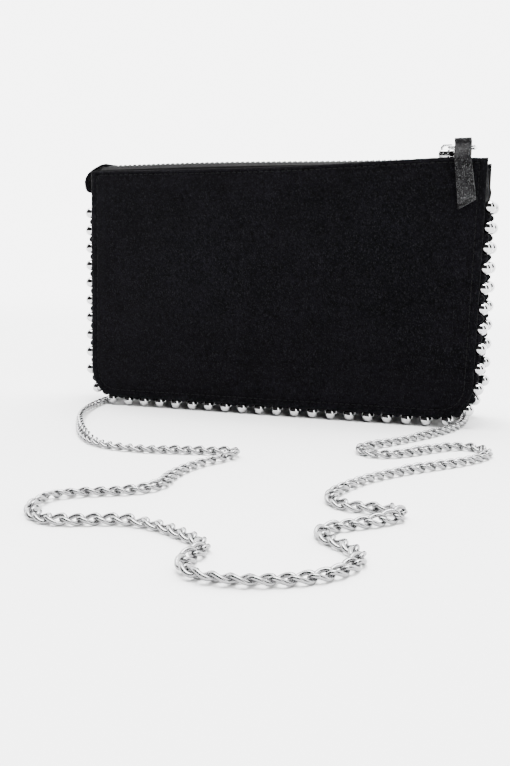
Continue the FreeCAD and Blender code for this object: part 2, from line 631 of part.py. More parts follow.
ROUTE = [
    (-100.5, 15.1, 107.7), (-100.7, 17.4, 84.0), (-100.9, 20.6, 56.0), (-101.1, 24.6, 27.5),
    (-101.2, 26.3, 12.5), (-101.2, 22.8, 6.0), (-101.3, 16.3, 2.2), (-101.3, 3.0, 2.2),
    (-102.0, -7.5, 2.2), (-101.0, -28.0, 2.2), (-95.5, -49.0, 2.2), (-86.5, -68.0, 2.2),
    (-75.5, -86.0, 2.2), (-63.5, -103.0, 2.2), (-47.0, -117.5, 2.2), (-26.5, -120.0, 2.2),
    (-6.5, -115.5, 2.2), (6.0, -112.5, 2.2), (16.5, -109.0, 2.2), (20.0, -117.0, 2.2),
    (15.5, -124.5, 2.2), (9.5, -135.5, 2.2), (7.5, -155.5, 2.2), (11.0, -167.0, 2.2),
    (9.0, -175.0, 2.2), (2.0, -181.0, 2.2), (-10.5, -187.0, 2.2), (-19.0, -193.5, 2.2),
    (-21.0, -202.0, 2.2), (-18.5, -210.5, 2.2), (-13.0, -217.5, 2.2), (-5.0, -220.5, 2.2),
    (4.5, -217.5, 2.2), (16.0, -211.5, 2.2), (30.0, -212.0, 2.2), (43.0, -218.5, 2.2),
    (51.0, -223.0, 2.2), (54.0, -230.5, 2.2), (51.5, -239.5, 2.2), (55.5, -247.0, 2.2),
    (63.5, -248.5, 2.2), (75.5, -247.0, 2.2), (92.0, -237.5, 2.2), (98.0, -227.0, 2.2),
    (98.5, -218.5, 2.2), (93.0, -211.5, 2.2), (85.0, -207.5, 2.2), (80.0, -200.5, 2.2),
    (85.5, -193.5, 2.2), (92.5, -188.0, 2.2), (98.5, -182.5, 2.2), (103.5, -176.5, 2.2),
    (99.0, -170.0, 2.2), (91.0, -171.0, 2.2), (83.5, -172.5, 2.2), (76.5, -169.0, 2.2),
    (73.5, -161.5, 2.2), (74.5, -150.5, 2.2), (82.0, -130.5, 2.2), (94.5, -113.5, 2.2),
    (109.5, -97.5, 2.2), (118.5, -84.5, 2.2), (121.5, -74.5, 2.2), (117.5, -66.5, 2.2),
    (109.0, -64.0, 2.2), (102.0, -68.5, 2.2), (94.5, -78.0, 2.2), (86.0, -88.5, 2.2),
    (79.0, -93.5, 2.2), (70.5, -93.0, 2.2), (66.0, -85.0, 2.2), (69.5, -78.0, 2.2),
    (77.5, -66.5, 2.2), (89.5, -47.5, 2.2), (98.7, -28.0, 2.2), (102.7, -8.0, 2.2),
    (101.3, 3.0, 2.2), (101.3, 16.3, 2.2), (101.2, 22.8, 6.0), (101.2, 26.3, 12.5),
    (101.1, 24.6, 27.5), (100.9, 20.6, 56.0), (100.7, 17.4, 84.0), (100.5, 15.1, 107.7),
]


def route_path(points):
    """Straight runs joined by tangent arcs, and the length and radii of the result."""
    pts = [V(*p) for p in points]
    edges = []
    radii = []
    start = pts[0]
    for a, b, c in zip(pts, pts[1:], pts[2:]):
        d0 = (b - a).normalize()
        d1 = (c - b).normalize()
        turn = math.acos(max(-1.0, min(1.0, d0.dot(d1))))
        cutback = 0.45 * min((b - a).Length, (c - b).Length)
        radii.append(cutback / math.tan(turn / 2.0))
        p0 = b - d0 * cutback
        p1 = b + d1 * cutback
        inward = (d1 - d0).normalize()
        sagitta = radii[-1] * (1.0 / math.cos(turn / 2.0) - 1.0)
        edges.append(Part.LineSegment(start, p0).toShape())
        edges.append(Part.Arc(p0, b + inward * sagitta, p1).toShape())
        start = p1
    edges.append(Part.LineSegment(start, pts[-1]).toShape())
    wire = Part.Wire(edges)
    return wire, wire.Length, radii


chain_wire, chain_length, chain_radii = route_path(ROUTE)
chain_r = size("chain_dia") / 2.0
heading = V(*ROUTE[1]) - V(*ROUTE[0])
chain = sweep(chain_wire, V(*ROUTE[0]), heading, chain_r)
node("chain", feature("chain", chain))

# ---- check and write ----

doc.recompute()
for obj in doc.Objects:
    if "Invalid" in obj.State or "Error" in obj.State:
        raise RuntimeError("%s did not recompute: %s" % (obj.Label, obj.State))
for name in sorted(parts):
    shape = parts[name].Shape
    if shape.isNull() or not shape.isValid() or not shape.Solids:
        raise RuntimeError("%s is not a valid solid" % name)
    shape.exportStep("parts/%s.step" % name)
    box = shape.BoundBox
    print("%-18s solids %3d  x %7.1f %7.1f  y %7.1f %7.1f  z %6.1f %6.1f" % (
        name, len(shape.Solids), box.XMin, box.XMax, box.YMin, box.YMax, box.ZMin, box.ZMax))
print("chain length %.1f, smallest radius %.1f, median %.1f" % (
    chain_length, min(chain_radii), sorted(chain_radii)[len(chain_radii) // 2]))
print("chain volume %.0f, section times length %.0f" % (
    parts["chain"].Shape.Volume, math.pi * chain_r ** 2 * chain_length))
print("ring axis x %.3f z %.3f, bar y %.3f, slider %.2f to %.2f, stop %.2f" % (
    ring_x0, ring_z, bar_y, sx0, sx1, -end_x - 0.2))
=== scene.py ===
import math
import random

import bpy
import numpy as np
from mathutils import Matrix, Vector, noise


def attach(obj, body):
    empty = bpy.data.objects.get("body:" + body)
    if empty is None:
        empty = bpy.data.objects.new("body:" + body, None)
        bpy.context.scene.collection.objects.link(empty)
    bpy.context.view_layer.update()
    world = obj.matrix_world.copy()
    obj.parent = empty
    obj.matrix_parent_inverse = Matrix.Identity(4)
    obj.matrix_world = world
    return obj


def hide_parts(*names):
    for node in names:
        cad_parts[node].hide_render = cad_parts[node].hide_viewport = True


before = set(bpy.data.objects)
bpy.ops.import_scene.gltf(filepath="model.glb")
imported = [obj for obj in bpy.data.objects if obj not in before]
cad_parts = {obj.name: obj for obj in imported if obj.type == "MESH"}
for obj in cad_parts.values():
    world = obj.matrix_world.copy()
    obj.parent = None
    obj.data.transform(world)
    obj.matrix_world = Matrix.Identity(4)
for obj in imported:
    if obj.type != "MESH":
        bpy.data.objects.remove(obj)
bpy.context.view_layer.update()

# Chain wallet: a small suede zip-top bag standing on ball studs, its curb chain
# lying loose on the floor. Metres; +Z up, +X right, the front panel faces -Y.

MM = 0.001
random.seed(7)

# ---- sizes shared with the CAD frame ----

WIDTH_BASE = 214.8 * MM
WIDTH_TOP = 219.6 * MM
PANEL_BOTTOM = 5.4 * MM
PANEL_TOP = 133.0 * MM
DEPTH_BASE = 40.4 * MM
DEPTH_TOP = 21.2 * MM
CORNER = 15.5 * MM
PANEL_THICK = 1.2 * MM
GUSSET_INSET = 0.4 * MM
GUSSET_THICK = 1.2 * MM
GUSSET_TOP = 129.4 * MM
STUD_R = 3.1 * MM
STUD_STAND = PANEL_BOTTOM + GUSSET_INSET - STUD_R
STUD_PITCH = 10.0 * MM
SIDE_PITCH = 9.92 * MM
STUD_SETBACK = 3.55 * MM
STUDS_BASE = 20
STUDS_SIDE = 11
LEAN = math.atan((DEPTH_BASE - DEPTH_TOP) / 2 / (PANEL_TOP - PANEL_BOTTOM))
PANEL_TALL = (PANEL_TOP - PANEL_BOTTOM) / math.cos(LEAN)

# ---- camera ----

CAMERA_AT = (0.15017, -0.44975, 0.08810)
YAW = 0.3498
PITCH = 0.1529
ROLL = 0.0016
LENS = 60.55


def make_camera():
    forward = Vector((-math.sin(YAW) * math.cos(PITCH),
                      math.cos(YAW) * math.cos(PITCH),
                      -math.sin(PITCH)))
    right = Vector((math.cos(YAW), math.sin(YAW), 0))
    up = right.cross(forward)
    right, up = (math.cos(ROLL) * right + math.sin(ROLL) * up,
                 math.cos(ROLL) * up - math.sin(ROLL) * right)
    data = bpy.data.cameras.new("camera")
    data.sensor_fit = "HORIZONTAL"
    data.sensor_width = 36
    data.lens = LENS
    data.clip_start = 0.01
    data.clip_end = 20
    camera = bpy.data.objects.new("camera", data)
    bpy.context.scene.collection.objects.link(camera)
    turn = Matrix((right, up, -forward)).transposed()
    camera.matrix_world = Matrix.Translation(CAMERA_AT) @ turn.to_4x4()
    bpy.context.scene.camera = camera


make_camera()

# ---- materials ----


def new_material(name):
    mat = bpy.data.materials.new(name)
    mat.use_nodes = True
    tree = mat.node_tree
    shader = next(n for n in tree.nodes if n.type == "BSDF_PRINCIPLED")
    coords = tree.nodes.new("ShaderNodeTexCoord")
    return mat, tree, shader, coords.outputs["Object"]


def noise_node(tree, coords, scale, detail=4.0, rough=0.6, stretch=None):
    if stretch:
        mapping = tree.nodes.new("ShaderNodeMapping")
        mapping.inputs["Scale"].default_value = stretch
        tree.links.new(coords, mapping.inputs["Vector"])
        coords = mapping.outputs["Vector"]
    node = tree.nodes.new("ShaderNodeTexNoise")
    node.inputs["Scale"].default_value = scale
    node.inputs["Detail"].default_value = detail
    node.inputs["Roughness"].default_value = rough
    tree.links.new(coords, node.inputs["Vector"])
    return node.outputs["Fac"]


def ramp(tree, value, stops):
    """Colour ramp; stops are (position, grey or colour)."""
    node = tree.nodes.new("ShaderNodeValToRGB")
    elements = node.color_ramp.elements
    while len(elements) < len(stops):
        elements.new(0.5)
    for element, (place, colour) in zip(elements, stops):
        element.position = place
        if not hasattr(colour, "__len__"):
            colour = (colour, colour, colour)
        element.color = (*colour, 1)
    tree.links.new(value, node.inputs["Fac"])
    return node.outputs["Color"]


def mix(tree, factor, a, b, kind="MIX"):
    node = tree.nodes.new("ShaderNodeMix")
    node.data_type = "RGBA"
    node.blend_type = kind
    for socket, value in ((node.inputs[0], factor), (node.inputs[6], a), (node.inputs[7], b)):
        if hasattr(value, "links"):
            tree.links.new(value, socket)
        else:
            socket.default_value = value
    return node.outputs[2]


def math_node(tree, kind, a, b):
    node = tree.nodes.new("ShaderNodeMath")
    node.operation = kind
    for socket, value in zip(node.inputs, (a, b)):
        if hasattr(value, "links"):
            tree.links.new(value, socket)
        else:
            socket.default_value = value
    return node.outputs[0]


def bump(tree, shader, height, distance):
    node = tree.nodes.new("ShaderNodeBump")
    node.inputs["Strength"].default_value = 1.0
    node.inputs["Distance"].default_value = distance
    tree.links.new(height, node.inputs["Height"])
    tree.links.new(node.outputs["Normal"], shader.inputs["Normal"])


def suede(name, dark, light, fleck, nap=0.10 * MM, sheen=0.02):
    """Brushed suede: cloudy nap, short fibres and scattered paler flecks."""
    mat, tree, shader, coords = new_material(name)
    clouds = noise_node(tree, coords, 38, 6.0, 0.72)
    mottle = noise_node(tree, coords, 620, 5.0, 0.8)
    fibres = noise_node(tree, coords, 1700, 3.0, 0.7, (1.0, 1.0, 0.45))
    grains = noise_node(tree, coords, 2000, 2.0, 0.6, (1.0, 1.0, 0.6))
    base = ramp(tree, clouds, [(0.36, dark), (0.66, light)])
    shade = ramp(tree, mottle, [(0.38, 0.15), (0.62, 2.1)])
    base = mix(tree, 1.0, base, shade, "MULTIPLY")
    shade = ramp(tree, fibres, [(0.32, 0.55), (0.62, 1.35)])
    base = mix(tree, 0.85, base, shade, "MULTIPLY")
    spots = ramp(tree, grains, [(0.56, 0.0), (0.70, 0.8)])
    base = mix(tree, spots, base, (*fleck, 1))
    tree.links.new(base, shader.inputs["Base Color"])
    rough = ramp(tree, clouds, [(0.3, 0.82), (0.7, 0.97)])
    tree.links.new(rough, shader.inputs["Roughness"])
    shader.inputs["Specular IOR Level"].default_value = 0.03
    shader.inputs["Sheen Weight"].default_value = sheen
    shader.inputs["Sheen Roughness"].default_value = 0.5
    bump(tree, shader, math_node(tree, "ADD", fibres, grains), nap)
    return mat


def cut_edge(name, colour):
    """The raw cut edge of the suede: a paler line of packed fibres."""
    mat, tree, shader, coords = new_material(name)
    layers = noise_node(tree, coords, 2200, 3.0, 0.7)
    tone = ramp(tree, layers, [(0.3, [c * 0.45 for c in colour]), (0.7, colour)])
    tree.links.new(tone, shader.inputs["Base Color"])
    shader.inputs["Roughness"].default_value = 0.85
    shader.inputs["Specular IOR Level"].default_value = 0.05
    bump(tree, shader, layers, 0.06 * MM)
    return mat


def metal(name, colour, roughness, scratch=0.05):
    """Plated metal with faint handling marks in its colour and fine scratches in its gloss."""
    mat, tree, shader, coords = new_material(name)
    marks = noise_node(tree, coords, 260, 6.0, 0.75)
    fine = noise_node(tree, coords, 3200, 2.0, 0.6, (1.0, 0.25, 1.0))
    tone = ramp(tree, marks, [(0.3, [c * 0.92 for c in colour]), (0.7, colour)])
    tree.links.new(tone, shader.inputs["Base Color"])
    gloss = ramp(tree, fine, [(0.3, roughness), (0.75, roughness + scratch)])
    tree.links.new(gloss, shader.inputs["Roughness"])
    shader.inputs["Metallic"].default_value = 1.0
    return mat


WAVES_PER_PITCH = 0.314


def weave(name, dark, light, pitch, roughness=0.9):
    """Plain woven cloth: warp and weft threads as crossed waves."""
    mat, tree, shader, coords = new_material(name)
    heights = []
    for direction in ("X", "Z"):
        wave = tree.nodes.new("ShaderNodeTexWave")
        wave.wave_type = "BANDS"
        wave.bands_direction = direction
        wave.inputs["Scale"].default_value = WAVES_PER_PITCH / pitch
        wave.inputs["Distortion"].default_value = 0.6
        wave.inputs["Detail"].default_value = 1.5
        tree.links.new(coords, wave.inputs["Vector"])
        heights.append(wave.outputs["Fac"])
    threads = math_node(tree, "MULTIPLY", heights[0], heights[1])
    fuzz = noise_node(tree, coords, 1800, 3.0, 0.7)
    worn = math_node(tree, "MULTIPLY", threads, fuzz)
    tone = ramp(tree, worn, [(0.02, dark), (0.5, light)])
    tree.links.new(tone, shader.inputs["Base Color"])
    shader.inputs["Roughness"].default_value = roughness
    shader.inputs["Specular IOR Level"].default_value = 0.1
    bump(tree, shader, threads, 0.12 * MM)
    return mat


def thread(name, colour):
    """Twisted sewing thread."""
    mat, tree, shader, coords = new_material(name)
    wave = tree.nodes.new("ShaderNodeTexWave")
    wave.bands_direction = "DIAGONAL"
    wave.inputs["Scale"].default_value = 900
    tree.links.new(coords, wave.inputs["Vector"])
    tone = ramp(tree, wave.outputs["Fac"], [(0.2, [c * 0.5 for c in colour]), (0.8, colour)])
    tree.links.new(tone, shader.inputs["Base Color"])
    shader.inputs["Roughness"].default_value = 0.7
    shader.inputs["Specular IOR Level"].default_value = 0.06
    bump(tree, shader, wave.outputs["Fac"], 0.05 * MM)
    return mat


SUEDE = suede("suede_black", dark=(0.0004, 0.0004, 0.0007), light=(0.0017, 0.0016, 0.0023),
              fleck=(0.012, 0.012, 0.014))
SUEDE_TAB = suede("suede_worn", dark=(0.0030, 0.0030, 0.0033), light=(0.024, 0.024, 0.025),
                  fleck=(0.09, 0.09, 0.09), nap=0.16 * MM, sheen=0.04)
EDGE = cut_edge("suede_cut_edge", (0.0105, 0.0105, 0.011))
NICKEL = metal("nickel_polished", (0.50, 0.50, 0.505), 0.03, 0.03)
CHAIN_METAL = metal("nickel_chain", (0.27, 0.27, 0.273), 0.20, 0.10)
TEETH = metal("zip_teeth_dark", (0.005, 0.005, 0.0055), 0.45, 0.15)
STEEL = metal("washer_steel", (0.45, 0.45, 0.46), 0.35, 0.2)
TAPE = weave("zip_tape_cloth", (0.003, 0.003, 0.0032), (0.015, 0.015, 0.016), pitch=0.45 * MM)
LINING = weave("lining_cloth", (0.002, 0.002, 0.002), (0.010, 0.010, 0.011), pitch=0.5 * MM,
               roughness=0.75)
BOARD = weave("stiffener_board", (0.16, 0.14, 0.12), (0.36, 0.33, 0.29), pitch=1.2 * MM)
# black thread, its colour lifted above the suede's so the stitches show as faint light dashes:
# partly the thread's own near-black, partly painted highlight
THREAD = thread("sewing_thread", (0.005, 0.005, 0.0055))

# ---- mesh helpers ----


def mesh_object(name, verts, faces, materials, body="bag",
                face_slots=None, smooth=True):
    mesh = bpy.data.meshes.new(name)
    mesh.from_pydata([tuple(v) for v in verts], [], faces)
    if not isinstance(materials, (list, tuple)):
        materials = [materials]
    for mat in materials:
        mesh.materials.append(mat)
    if face_slots is not None:
        mesh.polygons.foreach_set("material_index", face_slots)
    mesh.polygons.foreach_set("use_smooth", [smooth] * len(mesh.polygons))
    mesh.update()
    mesh.validate()
    obj = bpy.data.objects.new(name, mesh)
    bpy.context.scene.collection.objects.link(obj)
    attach(obj, body)
    return obj


def closed_sheet(outer, inner):
    """A sheet between two equal grids of points: verts, faces, and face slots (1 on the rim)."""
    rows, cols = len(outer), len(outer[0])
    verts = [p for row in outer for p in row] + [p for row in inner for p in row]
    half = rows * cols
    faces = []
    slots = []
    for i in range(rows - 1):
        for j in range(cols - 1):
            a = i * cols + j
            quad = (a, a + 1, a + cols + 1, a + cols)
            faces.append(quad)
            faces.append(tuple(half + k for k in reversed(quad)))
            slots += [0, 0]
    ring = list(range(cols))
    ring += [i * cols + cols - 1 for i in range(1, rows)]
    ring += [(rows - 1) * cols + j for j in range(cols - 2, -1, -1)]
    ring += [i * cols for i in range(rows - 2, 0, -1)]
    for a, b in zip(ring, ring[1:] + ring[:1]):
        faces.append((b, a, half + a, half + b))
        slots.append(1)
    return verts, faces, slots


def tube_rings(points, normals, binormals, radius, sides):
    """Rings of points round a path."""
    rings = []
    for p, n, b in zip(points, normals, binormals):
        rings.append([p + radius * (math.cos(a) * n + math.sin(a) * b)
                      for a in (2 * math.pi * k / sides for k in range(sides))])
    return rings


class Heap:
    """Many small parts gathered into one mesh."""

    def __init__(self):
        self.verts = []
        self.faces = []

    def add(self, verts, faces):
        start = len(self.verts)
        self.verts += list(verts)
        self.faces += [tuple(start + k for k in f) for f in faces]


def sphere_template(around, rings):
    """A unit ball: verts and faces."""
    verts = [Vector((0, 0, 1))]
    for i in range(1, rings):
        tilt = math.pi * i / rings
        for k in range(around):
            turn = 2 * math.pi * k / around
            verts.append(Vector((math.sin(tilt) * math.cos(turn),
                                 math.sin(tilt) * math.sin(turn),
                                 math.cos(tilt))))
    verts.append(Vector((0, 0, -1)))
    faces = [(0, 1 + k, 1 + (k + 1) % around) for k in range(around)]
    for i in range(rings - 2):
        a = 1 + i * around
        for k in range(around):
            n = (k + 1) % around
            faces.append((a + k, a + around + k, a + around + n, a + n))
    end = len(verts) - 1
    a = 1 + (rings - 2) * around
    faces += [(end, a + (k + 1) % around, a + k) for k in range(around)]
    return verts, faces


def smooth_step(x):
    """0 to 1 over 0 to 1, level at both ends."""
    x = min(max(x, 0.0), 1.0)
    return x * x * (3 - 2 * x)


def hump(x, width):
    """1 at 0, dying away over the width."""
    return math.exp(-(x / width) ** 2)


# ---- chain ----

ROUTE = [
    (-0.1005, 0.0151, 0.1077), (-0.1007, 0.0174, 0.0840), (-0.1009, 0.0206, 0.0560),
    (-0.1011, 0.0246, 0.0275), (-0.1012, 0.0263, 0.0125), (-0.1012, 0.0228, 0.0060),
    (-0.1013, 0.0163, 0.0022), (-0.1013, 0.0030, 0.0022), (-0.1020, -0.0075, 0.0022),
    (-0.1010, -0.0280, 0.0022), (-0.0955, -0.0490, 0.0022), (-0.0865, -0.0680, 0.0022),
    (-0.0755, -0.0860, 0.0022), (-0.0635, -0.1030, 0.0022), (-0.0470, -0.1175, 0.0022),
    (-0.0265, -0.1200, 0.0022), (-0.0065, -0.1155, 0.0022), (0.0060, -0.1125, 0.0022),
    (0.0165, -0.1090, 0.0022), (0.0200, -0.1170, 0.0022), (0.0155, -0.1245, 0.0022),
    (0.0095, -0.1355, 0.0022), (0.0075, -0.1555, 0.0022), (0.0110, -0.1670, 0.0022),
    (0.0090, -0.1750, 0.0022), (0.0020, -0.1810, 0.0022), (-0.0105, -0.1870, 0.0022),
    (-0.0190, -0.1935, 0.0022), (-0.0210, -0.2020, 0.0022), (-0.0185, -0.2105, 0.0022),
    (-0.0130, -0.2175, 0.0022), (-0.0050, -0.2205, 0.0022), (0.0045, -0.2175, 0.0022),
    (0.0160, -0.2115, 0.0022), (0.0300, -0.2120, 0.0022), (0.0430, -0.2185, 0.0022),
    (0.0510, -0.2230, 0.0022), (0.0540, -0.2305, 0.0022), (0.0515, -0.2395, 0.0022),
    (0.0555, -0.2470, 0.0022), (0.0635, -0.2485, 0.0022), (0.0755, -0.2470, 0.0022),
    (0.0920, -0.2375, 0.0022), (0.0980, -0.2270, 0.0022), (0.0985, -0.2185, 0.0022),
    (0.0930, -0.2115, 0.0022), (0.0850, -0.2075, 0.0022), (0.0800, -0.2005, 0.0022),
    (0.0855, -0.1935, 0.0022), (0.0925, -0.1880, 0.0022), (0.0985, -0.1825, 0.0022),
    (0.1035, -0.1765, 0.0022), (0.0990, -0.1700, 0.0022), (0.0910, -0.1710, 0.0022),
    (0.0835, -0.1725, 0.0022), (0.0765, -0.1690, 0.0022), (0.0735, -0.1615, 0.0022),
    (0.0745, -0.1505, 0.0022), (0.0820, -0.1305, 0.0022), (0.0945, -0.1135, 0.0022),
    (0.1095, -0.0975, 0.0022), (0.1185, -0.0845, 0.0022), (0.1215, -0.0745, 0.0022),
    (0.1175, -0.0665, 0.0022), (0.1090, -0.0640, 0.0022), (0.1020, -0.0685, 0.0022),
    (0.0945, -0.0780, 0.0022), (0.0860, -0.0885, 0.0022), (0.0790, -0.0935, 0.0022),
    (0.0705, -0.0930, 0.0022), (0.0660, -0.0850, 0.0022), (0.0695, -0.0780, 0.0022),
    (0.0775, -0.0665, 0.0022), (0.0895, -0.0475, 0.0022), (0.0987, -0.0280, 0.0022),
    (0.1027, -0.0080, 0.0022), (0.1013, 0.0030, 0.0022), (0.1013, 0.0163, 0.0022),
    (0.1012, 0.0228, 0.0060), (0.1012, 0.0263, 0.0125), (0.1011, 0.0246, 0.0275),
    (0.1009, 0.0206, 0.0560), (0.1007, 0.0174, 0.0840), (0.1005, 0.0151, 0.1077),
]

LINK_PITCH = 5.5 * MM
LINK_WIRE = 0.77 * MM  # the wire's radius
LINK_HALF = 3.52 * MM  # half the link's length, to the wire's middle
LINK_SIDE = 1.95 * MM  # half its width, to the wire's middle
LINK_TWIST = math.radians(50)
LINK_SHAKE = 5  # degrees either way that a link turns by chance
LINK_TURNS = 26
LINK_SIDES = 9
CHAIN_START = 1.2 * MM  # how far from each end of the route the links stop

JUMP_RING_R = 2.5 * MM
JUMP_RING_WIRE = 0.6 * MM
JUMP_RING_SHIFT = Vector((0, -0.3 * MM, -0.1 * MM))


def route_points():
    """Points along the route's own curve, read from its NURBS."""
    curve = bpy.data.curves.new("chain_route", "CURVE")
    curve.dimensions = "3D"
    curve.resolution_u = 10
    spline = curve.splines.new("NURBS")
    spline.points.add(len(ROUTE) - 1)
    for point, place in zip(spline.points, ROUTE):
        point.co = (*place, 1)
    spline.order_u = 3
    spline.use_endpoint_u = True
    obj = bpy.data.objects.new("chain_route", curve)
    bpy.context.scene.collection.objects.link(obj)
    bpy.context.view_layer.update()
    mesh = bpy.data.meshes.new_from_object(obj)
    points = [v.co.copy() for v in mesh.vertices]
    bpy.data.objects.remove(obj)
    bpy.data.curves.remove(curve)
    bpy.data.meshes.remove(mesh)
    return points


def walk(points):
    """Running length at each point."""
    total = [0.0]
    for a, b in zip(points, points[1:]):
        total.append(total[-1] + (b - a).length)
    return total


def sides_along(points, first_side):
    """Side vectors carried along the path without twisting."""
    sides = []
    side = Vector(first_side)
    for i in range(len(points)):
        behind = points[max(i - 1, 0)]
        ahead = points[min(i + 1, len(points) - 1)]
        along = (ahead - behind).normalized()
        side = (side - side.dot(along) * along).normalized()
        sides.append(side)
    return sides


def sample(lengths, values, s):
    """The value at running length s."""
    i = int(np.searchsorted(lengths, s)) - 1
    i = min(max(i, 0), len(values) - 2)
    span = lengths[i + 1] - lengths[i]
    f = (s - lengths[i]) / span if span > 0 else 0.0
    return values[i] * (1 - f) + values[i + 1] * f


def link_template(turns, sides):
    """One curb link: an oval of wire twisted about its long axis."""
    centre = []
    for k in range(turns):
        t = 2 * math.pi * k / turns
        twist = LINK_TWIST * math.cos(t)
        reach = LINK_SIDE * math.sin(t)
        centre.append(Vector((LINK_HALF * math.cos(t),
                              reach * math.cos(twist),
                              reach * math.sin(twist))))
    verts = []
    for k in range(turns):
        along = (centre[(k + 1) % turns] - centre[k - 1]).normalized()
        out = centre[k] - centre[k].dot(along) * along
        out.normalize()
        across = along.cross(out)
        for i in range(sides):
            a = 2 * math.pi * i / sides
            verts.append(centre[k] + LINK_WIRE * (math.cos(a) * out + math.sin(a) * across))
    faces = []
    for k in range(turns):
        n = (k + 1) % turns
        for i in range(sides):
            j = (i + 1) % sides
            faces.append((k * sides + i, k * sides + j, n * sides + j, n * sides + i))
    return verts, faces


# the chain's own slow roll: (angle, run of the wave)
SWAY = ((math.radians(9), 23 * MM), (math.radians(6), 9.1 * MM))
# where the chain lies rolled on its edge or a link stands up: (place, how far it reaches, roll)
ROLLS = [
    (Vector((-0.080, -0.080, 0)), 30 * MM, math.radians(74)),
    (Vector((0.101, -0.177, 0)), 9 * MM, math.radians(62)),
    (Vector((0.020, -0.118, 0)), 8 * MM, math.radians(35)),
    (Vector((0.053, -0.238, 0)), 12 * MM, math.radians(-30)),
    (Vector((-0.019, -0.202, 0)), 14 * MM, math.radians(28)),
]
FLOOR_Z = 0.1 * MM  # how high a link's lowest point lies
ON_FLOOR = 4 * MM  # a link whose place is below this rests on the floor
LEVEL = 0.1  # the steepest slope that counts as lying flat


def roll_at(place, s):
    """How far the chain is rolled about its own length."""
    roll = sum(angle * math.sin(s / run) for angle, run in SWAY)
    for centre, reach, angle in ROLLS:
        flat = Vector((place.x, place.y, 0)) - centre
        roll += angle * hump(flat.length, reach)
    return roll


def build_chain():
    """Curb links laid along the route; also the route's points and its length."""
    path = route_points()
    lengths = walk(path)
    sides = sides_along(path, (1, 0, 0))
    total = lengths[-1]
    room = total - 2 * CHAIN_START - 2 * LINK_HALF
    count = round(room / LINK_PITCH) + 1
    pitch = room / (count - 1)
    template, faces = link_template(LINK_TURNS, LINK_SIDES)
    heap = Heap()
    for i in range(count):
        s = CHAIN_START + LINK_HALF + i * pitch
        place = sample(lengths, path, s)
        ahead = sample(lengths, path, min(s + LINK_HALF, total))
        behind = sample(lengths, path, max(s - LINK_HALF, 0))
        along = (ahead - behind).normalized()
        side = sample(lengths, sides, s)
        side = (side - side.dot(along) * along).normalized()
        normal = along.cross(side)
        turn = roll_at(place, s) + math.radians(random.uniform(-LINK_SHAKE, LINK_SHAKE))
        wide = math.cos(turn) * side + math.sin(turn) * normal
        thick = math.cos(turn) * normal - math.sin(turn) * side
        middle = (ahead + behind + 2 * place) / 4
        verts = [middle + v.x * along + v.y * wide + v.z * thick for v in template]
        if place.z < ON_FLOOR and abs(along.z) < LEVEL:
            drop = min(v.z for v in verts) - FLOOR_Z
            verts = [v - Vector((0, 0, drop)) for v in verts]
        heap.add(verts, faces)
    chain = mesh_object("curb_chain", heap.verts, heap.faces, CHAIN_METAL)
    return chain, path, total


def ring_mesh(centre, first, second, radius, wire, turns=28, sides=10):
    """A round ring of wire in the plane of two directions."""
    points = []
    outs = []
    for k in range(turns):
        a = 2 * math.pi * k / turns
        outs.append(math.cos(a) * first + math.sin(a) * second)
        points.append(centre + radius * outs[-1])
    across = first.cross(second)
    rings = tube_rings(points, outs, [across] * turns, wire, sides)
    verts = [v for ring in rings for v in ring]
    faces = []
    for k in range(turns):
        n = (k + 1) % turns
        for i in range(sides):
            j = (i + 1) % sides
            faces.append((k * sides + i, n * sides + i, n * sides + j, k * sides + j))
    return verts, faces


chain, chain_path, chain_length = build_chain()
ring_heap = Heap()
for end in (ROUTE[0], ROUTE[-1]):
    turned = Vector((1, math.copysign(1, end[0]), 0)).normalized()
    ring_heap.add(*ring_mesh(Vector(end) + JUMP_RING_SHIFT, turned, Vector((0, 0, 1)),
                             JUMP_RING_R, JUMP_RING_WIRE))
jump_rings = mesh_object("chain_jump_rings", ring_heap.verts, ring_heap.faces, NICKEL)
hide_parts("chain")

# ---- panels ----


def fine_steps(total, fine=0.36 * MM, edge=5.4 * MM, coarse=1.7 * MM):
    """Places from 0 to total, close together at both ends for the rolled edge and the seam."""
    near = [i * fine for i in range(int(edge / fine))]
    middle = total - 2 * edge
    count = max(int(middle / coarse), 1)
    return (near + [edge + middle * i / count for i in range(count + 1)]
            + [total - d for d in reversed(near)])


def half_width_at(v):
    """Half the panel's width at height v up its slope."""
    straight = WIDTH_BASE / 2 + (WIDTH_TOP - WIDTH_BASE) / 2 * v / PANEL_TALL
    if v < CORNER:
        return straight - CORNER + math.sqrt(max(CORNER ** 2 - (CORNER - v) ** 2, 0.0))
    return straight


def edge_distance(u, v):
    """Distance in from the panel's sides and base."""
    flat = WIDTH_BASE / 2 - CORNER
    if v < CORNER and abs(u) > flat:
        return CORNER - math.hypot(abs(u) - flat, v - CORNER)
    side = WIDTH_BASE / 2 + (WIDTH_TOP - WIDTH_BASE) / 2 * v / PANEL_TALL - abs(u)
    return min(side, v)


SEAM_IN = 3.8 * MM
SEAM_TOP = 2.5 * MM
SEAM_DEEP = 0.30 * MM
SEAM_WIDE = 0.55 * MM
NO_SEAM = 1.0  # a distance at which the seam's groove is gone
TOP_SAG = 1.0 * MM
TOP_LIFT = 1.1 * MM
LIFT_RUN = 85 * MM  # the front's top edge rises from the middle over this run
LIFT_FADE = 22 * MM  # and comes down again over this one, to its right corner
EDGE_FRAY = 0.22 * MM
FRAY_BAND = 1.2 * MM
FRAY_GRAIN = 0.8 * MM
FRAY_LAYER = 1.5 * MM
ROLLED_DROP = 0.50 * MM
ROLLED_BAND = 1.1 * MM
LIP_TALL = 0.14 * MM
LIP_IN = 1.8 * MM
LIP_WIDE = 1.1 * MM
CROWN = 0.5 * MM
CROWN_BAND = 9 * MM


